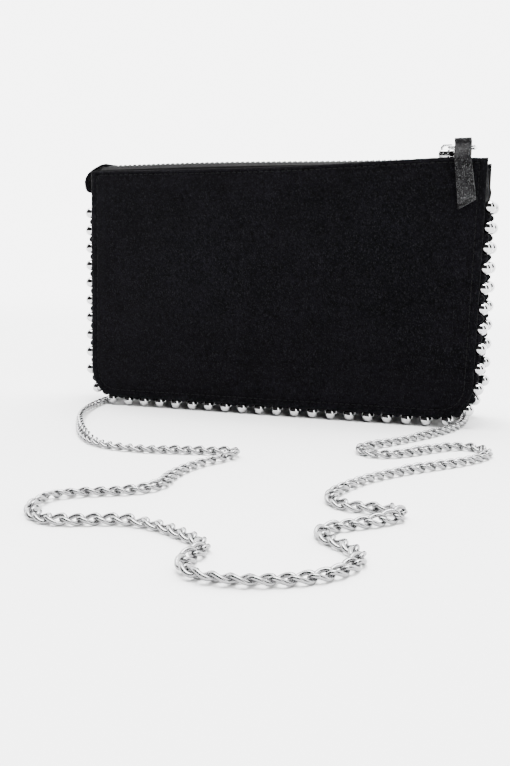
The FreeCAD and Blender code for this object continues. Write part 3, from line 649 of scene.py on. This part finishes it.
def panel_place(u, v, out, back):
    """A place on a panel: u across, v up the slope, out from its outer face."""
    high = smooth_step(v / PANEL_TALL) ** 3
    sag = TOP_SAG * max(1 - (2 * u / WIDTH_TOP) ** 2, 0) * high
    if back:
        v -= TOP_LIFT * high
    else:
        to_corner = smooth_step((WIDTH_TOP / 2 - u) / LIFT_FADE)
        v += TOP_LIFT * smooth_step(u / LIFT_RUN) * to_corner * high
    fray = EDGE_FRAY * smooth_step(1 - (PANEL_TALL - v) / FRAY_BAND)
    v = v - sag + fray * noise.noise(Vector((u / FRAY_GRAIN, out / FRAY_LAYER, 7)))
    y = -(DEPTH_BASE / 2 - v * math.sin(LEAN) + out * math.cos(LEAN))
    z = PANEL_BOTTOM + v * math.cos(LEAN) + out * math.sin(LEAN)
    return Vector((-u, -y, z)) if back else Vector((u, y, z))


def panel_relief(u, v, back):
    """How far the suede stands out of the flat: rolled edges, seam groove, gentle hollows."""
    edge = edge_distance(u, v)
    top = PANEL_TALL - v
    near = min(edge, top)
    rolled = -ROLLED_DROP * (1 - min(near / ROLLED_BAND, 1)) ** 2
    seam = min(abs(edge - SEAM_IN) if top > SEAM_TOP - 1 * MM else NO_SEAM,
               abs(top - SEAM_TOP) if edge > SEAM_IN - 1 * MM else NO_SEAM)
    groove = -SEAM_DEEP * hump(seam, SEAM_WIDE)
    lip = LIP_TALL * hump(near - LIP_IN, LIP_WIDE)
    seed = 31.0 if back else 0.0
    soft = noise.noise(Vector((u / 0.034, v / 0.028, seed))) * 0.42 * MM
    soft += noise.noise(Vector((u / 0.011, v / 0.010, seed + 5))) * 0.13 * MM
    inner = smooth_step(near / CROWN_BAND)
    return rolled + groove + lip + CROWN * inner + soft * inner


def build_panel(name, back):
    """One suede panel with its stitched edge, outer face to inner."""
    rows_out, rows_in = [], []
    for v in fine_steps(PANEL_TALL):
        half = half_width_at(v)
        row_out, row_in = [], []
        for d in fine_steps(2 * half):
            u = d - half
            row_out.append(panel_place(u, v, panel_relief(u, v, back), back))
            row_in.append(panel_place(u, v, -PANEL_THICK, back))
        rows_out.append(row_out)
        rows_in.append(row_in)
    # rows by the rounded corners have fewer points, so all are brought to one count
    cols = len(rows_out[-1])
    rows_out = [respace(row, cols) for row in rows_out]
    rows_in = [respace(row, cols) for row in rows_in]
    verts, faces, slots = closed_sheet(rows_out, rows_in)
    obj = mesh_object(name + "_suede", verts, faces, [SUEDE, EDGE], face_slots=slots)
    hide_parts(name)


def respace(row, count):
    """The same row of points with another count."""
    if len(row) == count:
        return row
    out = []
    for i in range(count):
        f = i * (len(row) - 1) / (count - 1)
        k = min(int(f), len(row) - 2)
        out.append(row[k].lerp(row[k + 1], f - k))
    return out


build_panel("front_panel", False)
build_panel("back_panel", True)

# ---- seams ----


def seam_path(step):
    """The line of stitches round a panel, as (u, v) places a fixed step apart."""
    flat = WIDTH_BASE / 2 - CORNER
    r = CORNER - SEAM_IN
    corner = [(flat + r * math.sin(a), CORNER - r * math.cos(a))
              for a in (math.pi / 2 * k / 12 for k in range(13))]
    top_v = PANEL_TALL - SEAM_TOP
    top_u = half_width_at(top_v) - SEAM_IN
    right = [(0, SEAM_IN)] + corner + [(top_u, top_v), (0, top_v)]
    loop = right + [(-u, v) for u, v in reversed(right)]
    places = []
    carry = 0.0
    for (ua, va), (ub, vb) in zip(loop, loop[1:]):
        span = math.hypot(ub - ua, vb - va)
        while span > 0 and carry < span:
            f = carry / span
            places.append((ua + (ub - ua) * f, va + (vb - va) * f))
            carry += step
        carry -= span
    return places


def capsule(a, b, radius, sides=6):
    """A stitch: thread from a to b, thinner at both ends."""
    along = (b - a).normalized()
    side = along.orthogonal().normalized()
    other = along.cross(side)
    verts = [a]
    for f, w in ((0.06, 0.6), (0.3, 1.0), (0.7, 1.0), (0.94, 0.6)):
        c = a.lerp(b, f)
        verts += [c + radius * w * (math.cos(t) * side + math.sin(t) * other)
                  for t in (2 * math.pi * k / sides for k in range(sides))]
    verts.append(b)
    faces = [(0, 1 + (k + 1) % sides, 1 + k) for k in range(sides)]
    for ring in range(3):
        base = 1 + ring * sides
        for k in range(sides):
            n = (k + 1) % sides
            faces.append((base + k, base + n, base + sides + n, base + sides + k))
    end = len(verts) - 1
    base = 1 + 3 * sides
    faces += [(end, base + k, base + (k + 1) % sides) for k in range(sides)]
    return verts, faces


STITCH_STEP = 3.1 * MM
STITCH_FILL = 0.80
STITCH_R = 0.24 * MM
STITCH_RISE = 0.10 * MM


def build_stitches(name, back):
    heap = Heap()
    places = seam_path(STITCH_STEP)
    for (ua, va), (ub, vb) in zip(places, places[1:]):
        ub = ua + (ub - ua) * STITCH_FILL
        vb = va + (vb - va) * STITCH_FILL
        a = panel_place(ua, va, panel_relief(ua, va, back) + STITCH_RISE, back)
        b = panel_place(ub, vb, panel_relief(ub, vb, back) + STITCH_RISE, back)
        heap.add(*capsule(a, b, STITCH_R))
    mesh_object(name, heap.verts, heap.faces, THREAD)


build_stitches("front_stitches", False)
build_stitches("back_stitches", True)

# ---- gusset and studs ----


def half_depth(z):
    """Half the bag's depth at height z, to the panels' outer faces."""
    return DEPTH_BASE / 2 - math.tan(LEAN) * (z - PANEL_BOTTOM)


BASE_FLAT = WIDTH_BASE / 2 - CORNER
BEND_R = CORNER - GUSSET_INSET
FLARE = math.atan((WIDTH_TOP - WIDTH_BASE) / 2 / (PANEL_TOP - PANEL_BOTTOM))
BEND = BEND_R * (math.pi / 2 - FLARE)
BASE_Z = PANEL_BOTTOM + GUSSET_INSET
RISE_FROM = BASE_Z + BEND_R - BEND_R * math.cos(math.pi / 2 - FLARE)
GUSSET_HALF = BASE_FLAT + BEND + (GUSSET_TOP - RISE_FROM) / math.cos(FLARE)


def gusset_place(s):
    """Place and outward normal on the gusset at run s from the middle of the base."""
    side = 1.0 if s >= 0 else -1.0
    run = abs(s)
    if run <= BASE_FLAT:
        return Vector((s, 0, BASE_Z)), Vector((0, 0, -1))
    a = min((run - BASE_FLAT) / BEND_R, math.pi / 2 - FLARE)
    up = max(run - BASE_FLAT - BEND, 0.0)
    x = BASE_FLAT + BEND_R * math.sin(a) + up * math.sin(FLARE)
    z = BASE_Z + BEND_R - BEND_R * math.cos(a) + up * math.cos(FLARE)
    return Vector((side * x, 0, z)), Vector((side * math.sin(a), 0, -math.cos(a)))


BASE_STEPS = [(i - (STUDS_BASE - 1) / 2) * STUD_PITCH for i in range(STUDS_BASE)]
SIDE_STEPS = [BASE_STEPS[-1] + STUD_PITCH, BASE_STEPS[-1] + 2 * STUD_PITCH]
while len(SIDE_STEPS) < STUDS_SIDE:
    SIDE_STEPS.append(SIDE_STEPS[-1] + SIDE_PITCH)
ALL_STEPS = sorted(BASE_STEPS + SIDE_STEPS + [-s for s in SIDE_STEPS])


def stud_row_y(place, normal):
    """How far a stud row is from the middle plane."""
    return half_depth(place.z + normal.z * STUD_STAND) - STUD_SETBACK


def build_studs(name, steps, back):
    template, faces = sphere_template(36, 22)
    heap = Heap()
    for s in steps:
        place, normal = gusset_place(s)
        y = stud_row_y(place, normal) * (1 if back else -1)
        centre = Vector((place.x, y, place.z)) + normal * STUD_STAND
        heap.add([centre + v * STUD_R for v in template], faces)
    obj = mesh_object(name + "_balls", heap.verts, heap.faces, NICKEL)
    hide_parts(name)


for side, back in (("front", False), ("back", True)):
    build_studs("studs_%s_base" % side, BASE_STEPS, back)
    build_studs("studs_%s_right" % side, SIDE_STEPS, back)
    build_studs("studs_%s_left" % side, [-s for s in SIDE_STEPS], back)

# the gusset's leather: peaks between the studs, a belly, and the fold at its top
PEAK_TALL = 3.3 * MM
PEAK_HALF = 3.0 * MM
PEAK_ACROSS = 2.9 * MM
PEAK_UNEVEN = 0.22
PEAK_ON_BASE = 0.62  # a peak's share of its height along the base
BASE_TO_SIDE = 12 * MM  # the run over which the peaks grow from the base to the side
BELLY = 0.7 * MM
FOLD_FROM = 108 * MM  # the height where the gusset's top begins to fold inwards
FOLD_RUN = 21 * MM
FOLD_DEEP = 6.5 * MM
LEAF_TALL = 2.3 * MM  # the fold's two leaves stand out beside the crease
LEAF_AT = 118 * MM
LEAF_RUN = 5.2 * MM
LEAF_SHARE = 0.60
LEAF_WIDE = 0.30
LINING_FOLD_DEEP = 6.0 * MM
LINING_CLEAR = 1.4 * MM
INNER_RISE = 0.5 * MM  # the most that the gusset's inner face follows its outer one
GAP_STEPS = [(a + b) / 2 for a, b in zip(ALL_STEPS, ALL_STEPS[1:])]


def folded(height):
    """How far the gusset's top is folded inwards, 0 to 1."""
    return smooth_step((height - FOLD_FROM) / FOLD_RUN)


def gusset_relief(s, y, half_y, row_y, height):
    """Leather pinched up between neighbouring studs, a soft belly, and the fold at the top."""
    nearest = min(abs(s - gap) for gap in GAP_STEPS)
    if abs(s) > ALL_STEPS[-1]:
        nearest = PEAK_HALF
    lean_in = 1 - min(nearest / PEAK_HALF, 1)
    across = max(1 - ((abs(y) - row_y) / PEAK_ACROSS) ** 2, 0)
    uneven = 1 + PEAK_UNEVEN * noise.noise(Vector((s / 0.006, y / 0.012, 3)))
    on_side = smooth_step((abs(s) - BASE_FLAT) / BASE_TO_SIDE)
    on_side = PEAK_ON_BASE + (1 - PEAK_ON_BASE) * on_side
    peak = PEAK_TALL * (1 - (1 - lean_in) ** 2) * across * uneven * on_side
    belly = BELLY * (1 - (y / half_y) ** 2)
    share = abs(y) / half_y
    fold = -FOLD_DEEP * folded(height) * (1 - share)
    leaf = LEAF_TALL * hump(height - LEAF_AT, LEAF_RUN) * hump(share - LEAF_SHARE, LEAF_WIDE)
    soft = 0.25 * MM * noise.noise(Vector((s / 0.013, y / 0.010, 9)))
    keep = smooth_step((half_y - abs(y)) / (1.2 * MM))
    return (peak + belly + leaf + soft) * keep + fold


GUSSET_STEP = 0.8 * MM
GUSSET_ACROSS = 34


def build_gusset(name, node, inset, thick, top_drop, mat, rich):
    """A strip round the sides and base; a rich one has the leather's peaks and folds."""
    half = GUSSET_HALF - top_drop
    count = int(2 * half / GUSSET_STEP)
    rows_out, rows_in = [], []
    for i in range(count + 1):
        s = -half + 2 * half * i / count
        place, normal = gusset_place(s)
        half_y = half_depth(place.z) - PANEL_THICK / math.cos(LEAN) - (0 if rich else LINING_CLEAR)
        row_y = stud_row_y(place, normal)
        row_out, row_in = [], []
        for k in range(GUSSET_ACROSS + 1):
            y = half_y * (2 * k / GUSSET_ACROSS - 1)
            if rich:
                rise = gusset_relief(s, y, half_y, row_y, place.z)
            else:
                rise = -LINING_FOLD_DEEP * folded(place.z) * (1 - abs(y) / half_y)
            at = Vector((place.x, y, place.z))
            row_out.append(at + normal * (rise - inset))
            row_in.append(at + normal * (min(rise, INNER_RISE) - inset - thick))
        rows_out.append(row_out)
        rows_in.append(row_in)
    verts, faces, slots = closed_sheet(rows_in, rows_out)
    mats = [mat, EDGE] if rich else [mat, mat]
    obj = mesh_object(name, verts, faces, mats, face_slots=slots)
    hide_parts(node)


build_gusset("gusset_suede", "gusset", inset=0.0, thick=GUSSET_THICK, top_drop=0.0,
             mat=SUEDE, rich=True)
build_gusset("gusset_lining", "lining_gusset", inset=2.3 * MM, thick=0.5 * MM, top_drop=2.0 * MM,
             mat=LINING, rich=False)

# ---- zip, pulls and loops ----

END_TAB_HALF = 6.0 * MM
# the end tab's section as (x, z) in mm: down its outer face, then back up its inner one
END_TAB_OUTER = [(-102.0, 137.3), (-106.5, 136.7), (-110.6, 134.9), (-114.2, 132.5),
                 (-116.4, 129.9), (-117.1, 127.4), (-116.9, 124.2), (-115.8, 121.9),
                 (-113.9, 120.9)]
END_TAB_INNER = [(-113.2, 122.2), (-114.9, 123.6), (-115.3, 127.2), (-114.7, 129.0),
                 (-112.8, 131.0), (-110.0, 133.2), (-106.2, 135.2), (-102.0, 135.9)]


def end_tab_form():
    """The zip's end tab: suede folded over the tape ends, its loose end puffed out to the left."""
    ring = [(x * MM, z * MM) for x, z in END_TAB_OUTER + END_TAB_INNER]
    verts = [(x, y, z) for y in (-END_TAB_HALF, END_TAB_HALF) for x, z in ring]
    n = len(ring)
    faces = [(k, (k + 1) % n, n + (k + 1) % n, n + k) for k in range(n)]
    faces += [tuple(range(n))[::-1], tuple(range(n, 2 * n))]
    mesh = bpy.data.meshes.new("end_tab_form")
    mesh.from_pydata(verts, [], faces)
    mesh.update()
    return mesh


def softened(name, node, mat, body, bevel=0.0, voxel=0.0, smooth=4, rough=0.0,
             grain=4 * MM, form=None):
    """A finished piece for a CAD node, on its shape or on a form of its own: a bevel rounds
    its edges, and a voxel size relaxes it like leather."""
    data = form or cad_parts[node].data.copy()
    data.materials.clear()
    data.materials.append(mat)
    obj = bpy.data.objects.new(name, data)
    bpy.context.scene.collection.objects.link(obj)
    weld = obj.modifiers.new("weld", "WELD")
    weld.merge_threshold = 0.01 * MM
    flat = obj.modifiers.new("flat", "DECIMATE")
    flat.decimate_type = "DISSOLVE"
    flat.angle_limit = math.radians(1)
    if bevel:
        round_off = obj.modifiers.new("round", "BEVEL")
        round_off.width = bevel
        round_off.segments = 4
        round_off.limit_method = "ANGLE"
        round_off.angle_limit = math.radians(28)
    if voxel:
        remesh = obj.modifiers.new("remesh", "REMESH")
        remesh.mode = "VOXEL"
        remesh.voxel_size = voxel
        relax = obj.modifiers.new("relax", "SMOOTH")
        relax.factor = 0.5
        relax.iterations = smooth
    graph = bpy.context.evaluated_depsgraph_get()
    mesh = bpy.data.meshes.new_from_object(obj.evaluated_get(graph))
    obj.modifiers.clear()
    obj.data = mesh
    mesh.materials.clear()
    mesh.materials.append(mat)
    mesh.polygons.foreach_set("material_index", [0] * len(mesh.polygons))
    mesh.polygons.foreach_set("use_smooth", [True] * len(mesh.polygons))
    if rough:
        mesh.update()
        for vert in mesh.vertices:
            vert.co += vert.normal * rough * noise.noise(vert.co / grain)
    elif bevel:
        mesh.set_sharp_from_angle(angle=math.radians(40))
    mesh.update()
    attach(obj, body)
    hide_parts(node)


ZIP_Z = PANEL_TOP + 2.5 * MM
ZIP_SINK = 2.2 * MM
SINK_FROM = -60 * MM
SINK_RUN = 130 * MM
TAPE_THICK = 0.7 * MM
TAPE_HALF = 104.0 * MM
TAPE_LOW = PANEL_TOP - 6.5 * MM
TAPE_TOP = PANEL_TOP + 0.3 * MM
TAPE_STEPS = 208
TAPE_WAVE = 0.10 * MM
TAPE_FOLLOW = 0.6  # how far the tape's fold by the panel sinks with the teeth
TEETH_FIRST = -98.6 * MM
TEETH_LAST = 88.9 * MM
TOOTH_STEP = 3.0 * MM
TOOTH_SIDES = 12
# a tooth from its foot to its head, in mm: (how far out, half its width, half its height)
TOOTH_RINGS = ((-2.1, 0.45, 0.75), (-1.9, 0.60, 1.10), (-0.9, 0.58, 1.20),
               (-0.1, 0.42, 1.20), (0.5, 0.46, 1.05), (0.8, 0.30, 0.70))


def zip_sink(x):
    """How much lower the closed zip lies between the panels towards its slider's place."""
    return ZIP_SINK * smooth_step((x - SINK_FROM) / SINK_RUN)


def rings_solid(rings):
    """Closed form through equal rings of points, its two ends capped."""
    n = len(rings[0])
    verts = [p for ring in rings for p in ring]
    faces = [(i * n + k, i * n + (k + 1) % n, (i + 1) * n + (k + 1) % n, (i + 1) * n + k)
             for i in range(len(rings) - 1) for k in range(n)]
    last = (len(rings) - 1) * n
    faces += [tuple(range(n))[::-1], tuple(last + k for k in range(n))]
    return verts, faces


def build_tape(name, node, side):
    """Woven tape from inside the panel up to the teeth, its edge cord just under them."""
    t = TAPE_THICK
    inner = PANEL_THICK / math.cos(LEAN)
    y_low, y_top = half_depth(TAPE_LOW) - inner, half_depth(TAPE_TOP) - inner
    rings = []
    for i in range(TAPE_STEPS + 1):
        x = -TAPE_HALF + 2 * TAPE_HALF * i / TAPE_STEPS
        sink = zip_sink(x)
        wave = TAPE_WAVE * noise.noise(Vector((x / 0.009, side, 2)))
        z = ZIP_Z - sink + wave
        follow = TAPE_FOLLOW * sink
        profile = [(y_low, TAPE_LOW), (y_top, TAPE_TOP - follow), (6.6 * MM, z - 0.35 * MM),
                   (4.2 * MM, z + t / 2), (2.9 * MM, z + t / 2 + 0.12 * MM),
                   (1.9 * MM, z + t / 2), (1.9 * MM, z - t / 2), (4.3 * MM, z - t / 2),
                   (y_top - t, TAPE_TOP - 0.45 * MM - follow), (y_low - t, TAPE_LOW)]
        rings.append([Vector((x, side * y, h)) for y, h in profile])
    verts, faces = rings_solid(rings)
    obj = mesh_object(name, verts, faces, [TAPE], smooth=False)
    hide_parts(node)


def build_teeth(name, node, side, first):
    """Cast teeth: a foot clamped on the tape's cord and a narrower rounded head that meshes."""
    heap = Heap()
    x = first
    while x <= TEETH_LAST + 0.01 * MM:
        z = ZIP_Z - zip_sink(x)
        rings = []
        for reach, wide, tall in TOOTH_RINGS:
            ring = []
            for k in range(TOOTH_SIDES):
                a = 2 * math.pi * k / TOOTH_SIDES
                c, h = math.cos(a), math.sin(a)
                across = wide * MM * math.copysign(abs(c) ** 0.7, c) * (1 - 0.28 * max(h, 0))
                up = tall * MM * math.copysign(abs(h) ** 0.75, h)
                ring.append(Vector((x + across, -side * reach * MM, z + up)))
            rings.append(ring)
        heap.add(*rings_solid(rings))
        x += TOOTH_STEP
    obj = mesh_object(name, heap.verts, heap.faces, [TEETH])
    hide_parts(node)


for side_name, side, first in (("front", -1, TEETH_FIRST),
                               ("back", 1, TEETH_FIRST + TOOTH_STEP / 2)):
    build_tape("zip_tape_%s_cloth" % side_name, "zip_tape_" + side_name, side)
    build_teeth("zip_teeth_%s_cast" % side_name, "zip_teeth_" + side_name, side, first)


SLIDER_START = 84.8 * MM
SLIDER_LONG = 7.7 * MM
SLIDER_MID = 135.5  # mm, the height of its waist
SLIDER_STEPS = 24
SLIDER_NOSE = 0.10  # the share of its length that rounds off at each end
# half the slider's section as (y, z) in mm, from its top to its bottom
SLIDER_SECTION = [(0.0, 138.2), (2.3, 138.2), (3.3, 137.9), (3.85, 137.2), (3.9, 136.5),
                  (3.4, 136.1), (3.05, 135.7), (3.1, 135.0), (3.75, 134.7), (3.9, 134.2),
                  (3.6, 133.4), (2.6, 132.9), (0.0, 132.8)]


def build_slider():
    """Cast slider: two domed flanges, broad where the teeth part, and a waist between them.

    It travels straight, so it keeps the height of the zip's far end and doesn't sink.
    """
    rings = []
    for i in range(SLIDER_STEPS + 1):
        f = i / SLIDER_STEPS
        wide = 0.84 + 0.16 * math.sin(math.pi * min(f * 1.15, 1.0))
        wide -= 0.10 * smooth_step((f - 0.7) / 0.3)
        to_end = min(f, 1 - f)
        end = 1 - (1 - to_end / SLIDER_NOSE) ** 2 if to_end < SLIDER_NOSE else 1.0
        scale = 0.80 + 0.20 * end
        ring = [(y * wide * (0.88 + 0.12 * end), SLIDER_MID + (z - SLIDER_MID) * scale)
                for y, z in SLIDER_SECTION]
        ring += [(-y, z) for y, z in reversed(ring[1:-1])]
        rings.append([Vector((SLIDER_START + SLIDER_LONG * f, y * MM, z * MM)) for y, z in ring])
    verts, faces = rings_solid(rings)
    obj = mesh_object("slider_hood", verts, faces, [NICKEL], body="slider")
    obj.data.set_sharp_from_angle(angle=math.radians(50))
    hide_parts("slider_body")


build_slider()
softened("slider_bail", "slider_bridge", NICKEL, "slider", bevel=0.38 * MM)
softened("pull_tab_suede", "pull_tab", SUEDE_TAB, "tab", voxel=0.26 * MM, smooth=3,
         rough=0.16 * MM, grain=2.6 * MM)
softened("zip_end_suede", "zip_end_tab", SUEDE, "bag", voxel=0.34 * MM,
         rough=0.22 * MM, form=end_tab_form())
for side in ("left", "right"):
    softened("anchor_suede_" + side, "chain_anchor_" + side, SUEDE, "bag",
             voxel=0.3 * MM, smooth=3, rough=0.10 * MM, grain=3 * MM)

# ---- finishes for the CAD pieces that stay ----

FINISHES = {
    "zip_bottom_stop": TEETH, "zip_top_stops": TEETH, "pull_ring": NICKEL,
    "end_ring_left": NICKEL, "end_ring_right": NICKEL,
    "stud_caps_front": STEEL, "stud_caps_back": STEEL,
    "front_board": BOARD, "back_board": BOARD, "base_board": BOARD,
    "lining_front": LINING, "lining_back": LINING, "slip_pocket": LINING,
    "card_slot_front": LINING, "card_slot_rear": LINING,
}
for node, mat in FINISHES.items():
    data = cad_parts[node].data
    data.materials.clear()
    data.materials.append(mat)

# ---- floor, backdrop and light ----

PAPER = 0.88
PAPER_GLOW = 6.4
GLOW_FROM = 0.25  # the glow grows from this y to the next, behind the bag
GLOW_TO = 1.0


def stage_material():
    """White paper; towards the backdrop it glows evenly, so no horizon shows."""
    mat, tree, shader, coords = new_material("stage_paper")
    split = tree.nodes.new("ShaderNodeSeparateXYZ")
    tree.links.new(coords, split.inputs[0])
    reach = tree.nodes.new("ShaderNodeMapRange")
    reach.interpolation_type = "SMOOTHSTEP"
    reach.inputs["From Min"].default_value = GLOW_FROM
    reach.inputs["From Max"].default_value = GLOW_TO
    tree.links.new(split.outputs["Y"], reach.inputs["Value"])
    tone = ramp(tree, reach.outputs["Result"], [(0.0, PAPER), (1.0, 0.0)])
    tree.links.new(tone, shader.inputs["Base Color"])
    glow = ramp(tree, reach.outputs["Result"], [(0.0, 0.0), (1.0, 1.0)])
    tree.links.new(glow, shader.inputs["Emission Color"])
    shader.inputs["Emission Strength"].default_value = PAPER_GLOW
    shader.inputs["Roughness"].default_value = 1.0
    shader.inputs["Specular IOR Level"].default_value = 0.0
    return mat


def build_stage():
    """Paper floor that curves up into a backdrop behind the bag."""
    front, back, bend, tall, half = -3.0, 1.6, 0.8, 3.0, 3.5
    steps = 16
    profile = [(front, 0.0), (-0.6, 0.0), (0.4, 0.0), (back - bend, 0.0)]
    profile += [(back - bend + bend * math.sin(a), bend - bend * math.cos(a))
                for a in (math.pi / 2 * k / steps for k in range(1, steps + 1))]
    profile += [(back, tall)]
    verts = [(x, y, z) for y, z in profile for x in (-half, half)]
    faces = [(2 * k, 2 * k + 1, 2 * k + 3, 2 * k + 2) for k in range(len(profile) - 1)]
    mesh = bpy.data.meshes.new("stage_floor")
    mesh.from_pydata(verts, [], faces)
    mesh.polygons.foreach_set("use_smooth", [True] * len(mesh.polygons))
    mesh.materials.append(stage_material())
    mesh.update()
    obj = bpy.data.objects.new("stage_floor", mesh)
    bpy.context.scene.collection.objects.link(obj)


build_stage()

# brightness of the world: all round, the dark flags, and the box overhead
SKY = 6.6
ROOM = 0.04
TOP_BOX = 22.0
# where they are, in degrees: heights above the floor, and turns from the front to the right
FLAG_TILT = (-8, 68)
LEFT_FLAG = (-88, 36)
RIGHT_FLAG = (54, 100)
TOP_TILT = (66, 120)
SOFT = 3


def build_world():
    """A studio: pale all round, with dark flags and a soft box overhead.

    The camera itself sees plain pale sky in their place.
    """
    world = bpy.data.worlds.new("studio")
    bpy.context.scene.world = world
    world.use_nodes = True
    tree = world.node_tree
    sky = next(n for n in tree.nodes if n.type == "BACKGROUND")
    coords = tree.nodes.new("ShaderNodeTexCoord")
    split = tree.nodes.new("ShaderNodeSeparateXYZ")
    tree.links.new(coords.outputs["Generated"], split.inputs[0])

    def band(value, span):
        """1 between the two angles of a span, fading at both."""
        low, high, soft = (math.radians(angle) for angle in (*span, SOFT))
        up = tree.nodes.new("ShaderNodeMapRange")
        up.interpolation_type = "SMOOTHSTEP"
        up.inputs["From Min"].default_value = low - soft
        up.inputs["From Max"].default_value = low + soft
        down = tree.nodes.new("ShaderNodeMapRange")
        down.interpolation_type = "SMOOTHSTEP"
        down.inputs["From Min"].default_value = high - soft
        down.inputs["From Max"].default_value = high + soft
        down.inputs["To Min"].default_value = 1.0
        down.inputs["To Max"].default_value = 0.0
        tree.links.new(value, up.inputs["Value"])
        tree.links.new(value, down.inputs["Value"])
        return math_node(tree, "MULTIPLY", up.outputs["Result"], down.outputs["Result"])

    forward = math_node(tree, "MULTIPLY", split.outputs["Y"], -1.0)
    turn = math_node(tree, "ARCTAN2", split.outputs["X"], forward)
    tilt = math_node(tree, "ARCSINE", split.outputs["Z"], 0.0)
    flags = math_node(tree, "ADD", band(turn, LEFT_FLAG), band(turn, RIGHT_FLAG))
    room = math_node(tree, "MULTIPLY", band(tilt, FLAG_TILT), flags)
    top = band(tilt, TOP_TILT)
    level = math_node(tree, "ADD", SKY, math_node(tree, "MULTIPLY", top, TOP_BOX - SKY))
    level = math_node(tree, "ADD", level, math_node(tree, "MULTIPLY", room, ROOM - SKY))
    seen = tree.nodes.new("ShaderNodeLightPath").outputs["Is Camera Ray"]
    plain = math_node(tree, "MULTIPLY", seen, math_node(tree, "SUBTRACT", SKY, level))
    tree.links.new(math_node(tree, "ADD", level, plain), sky.inputs["Strength"])
    sky.inputs["Color"].default_value = (1, 1, 1, 1)


build_world()
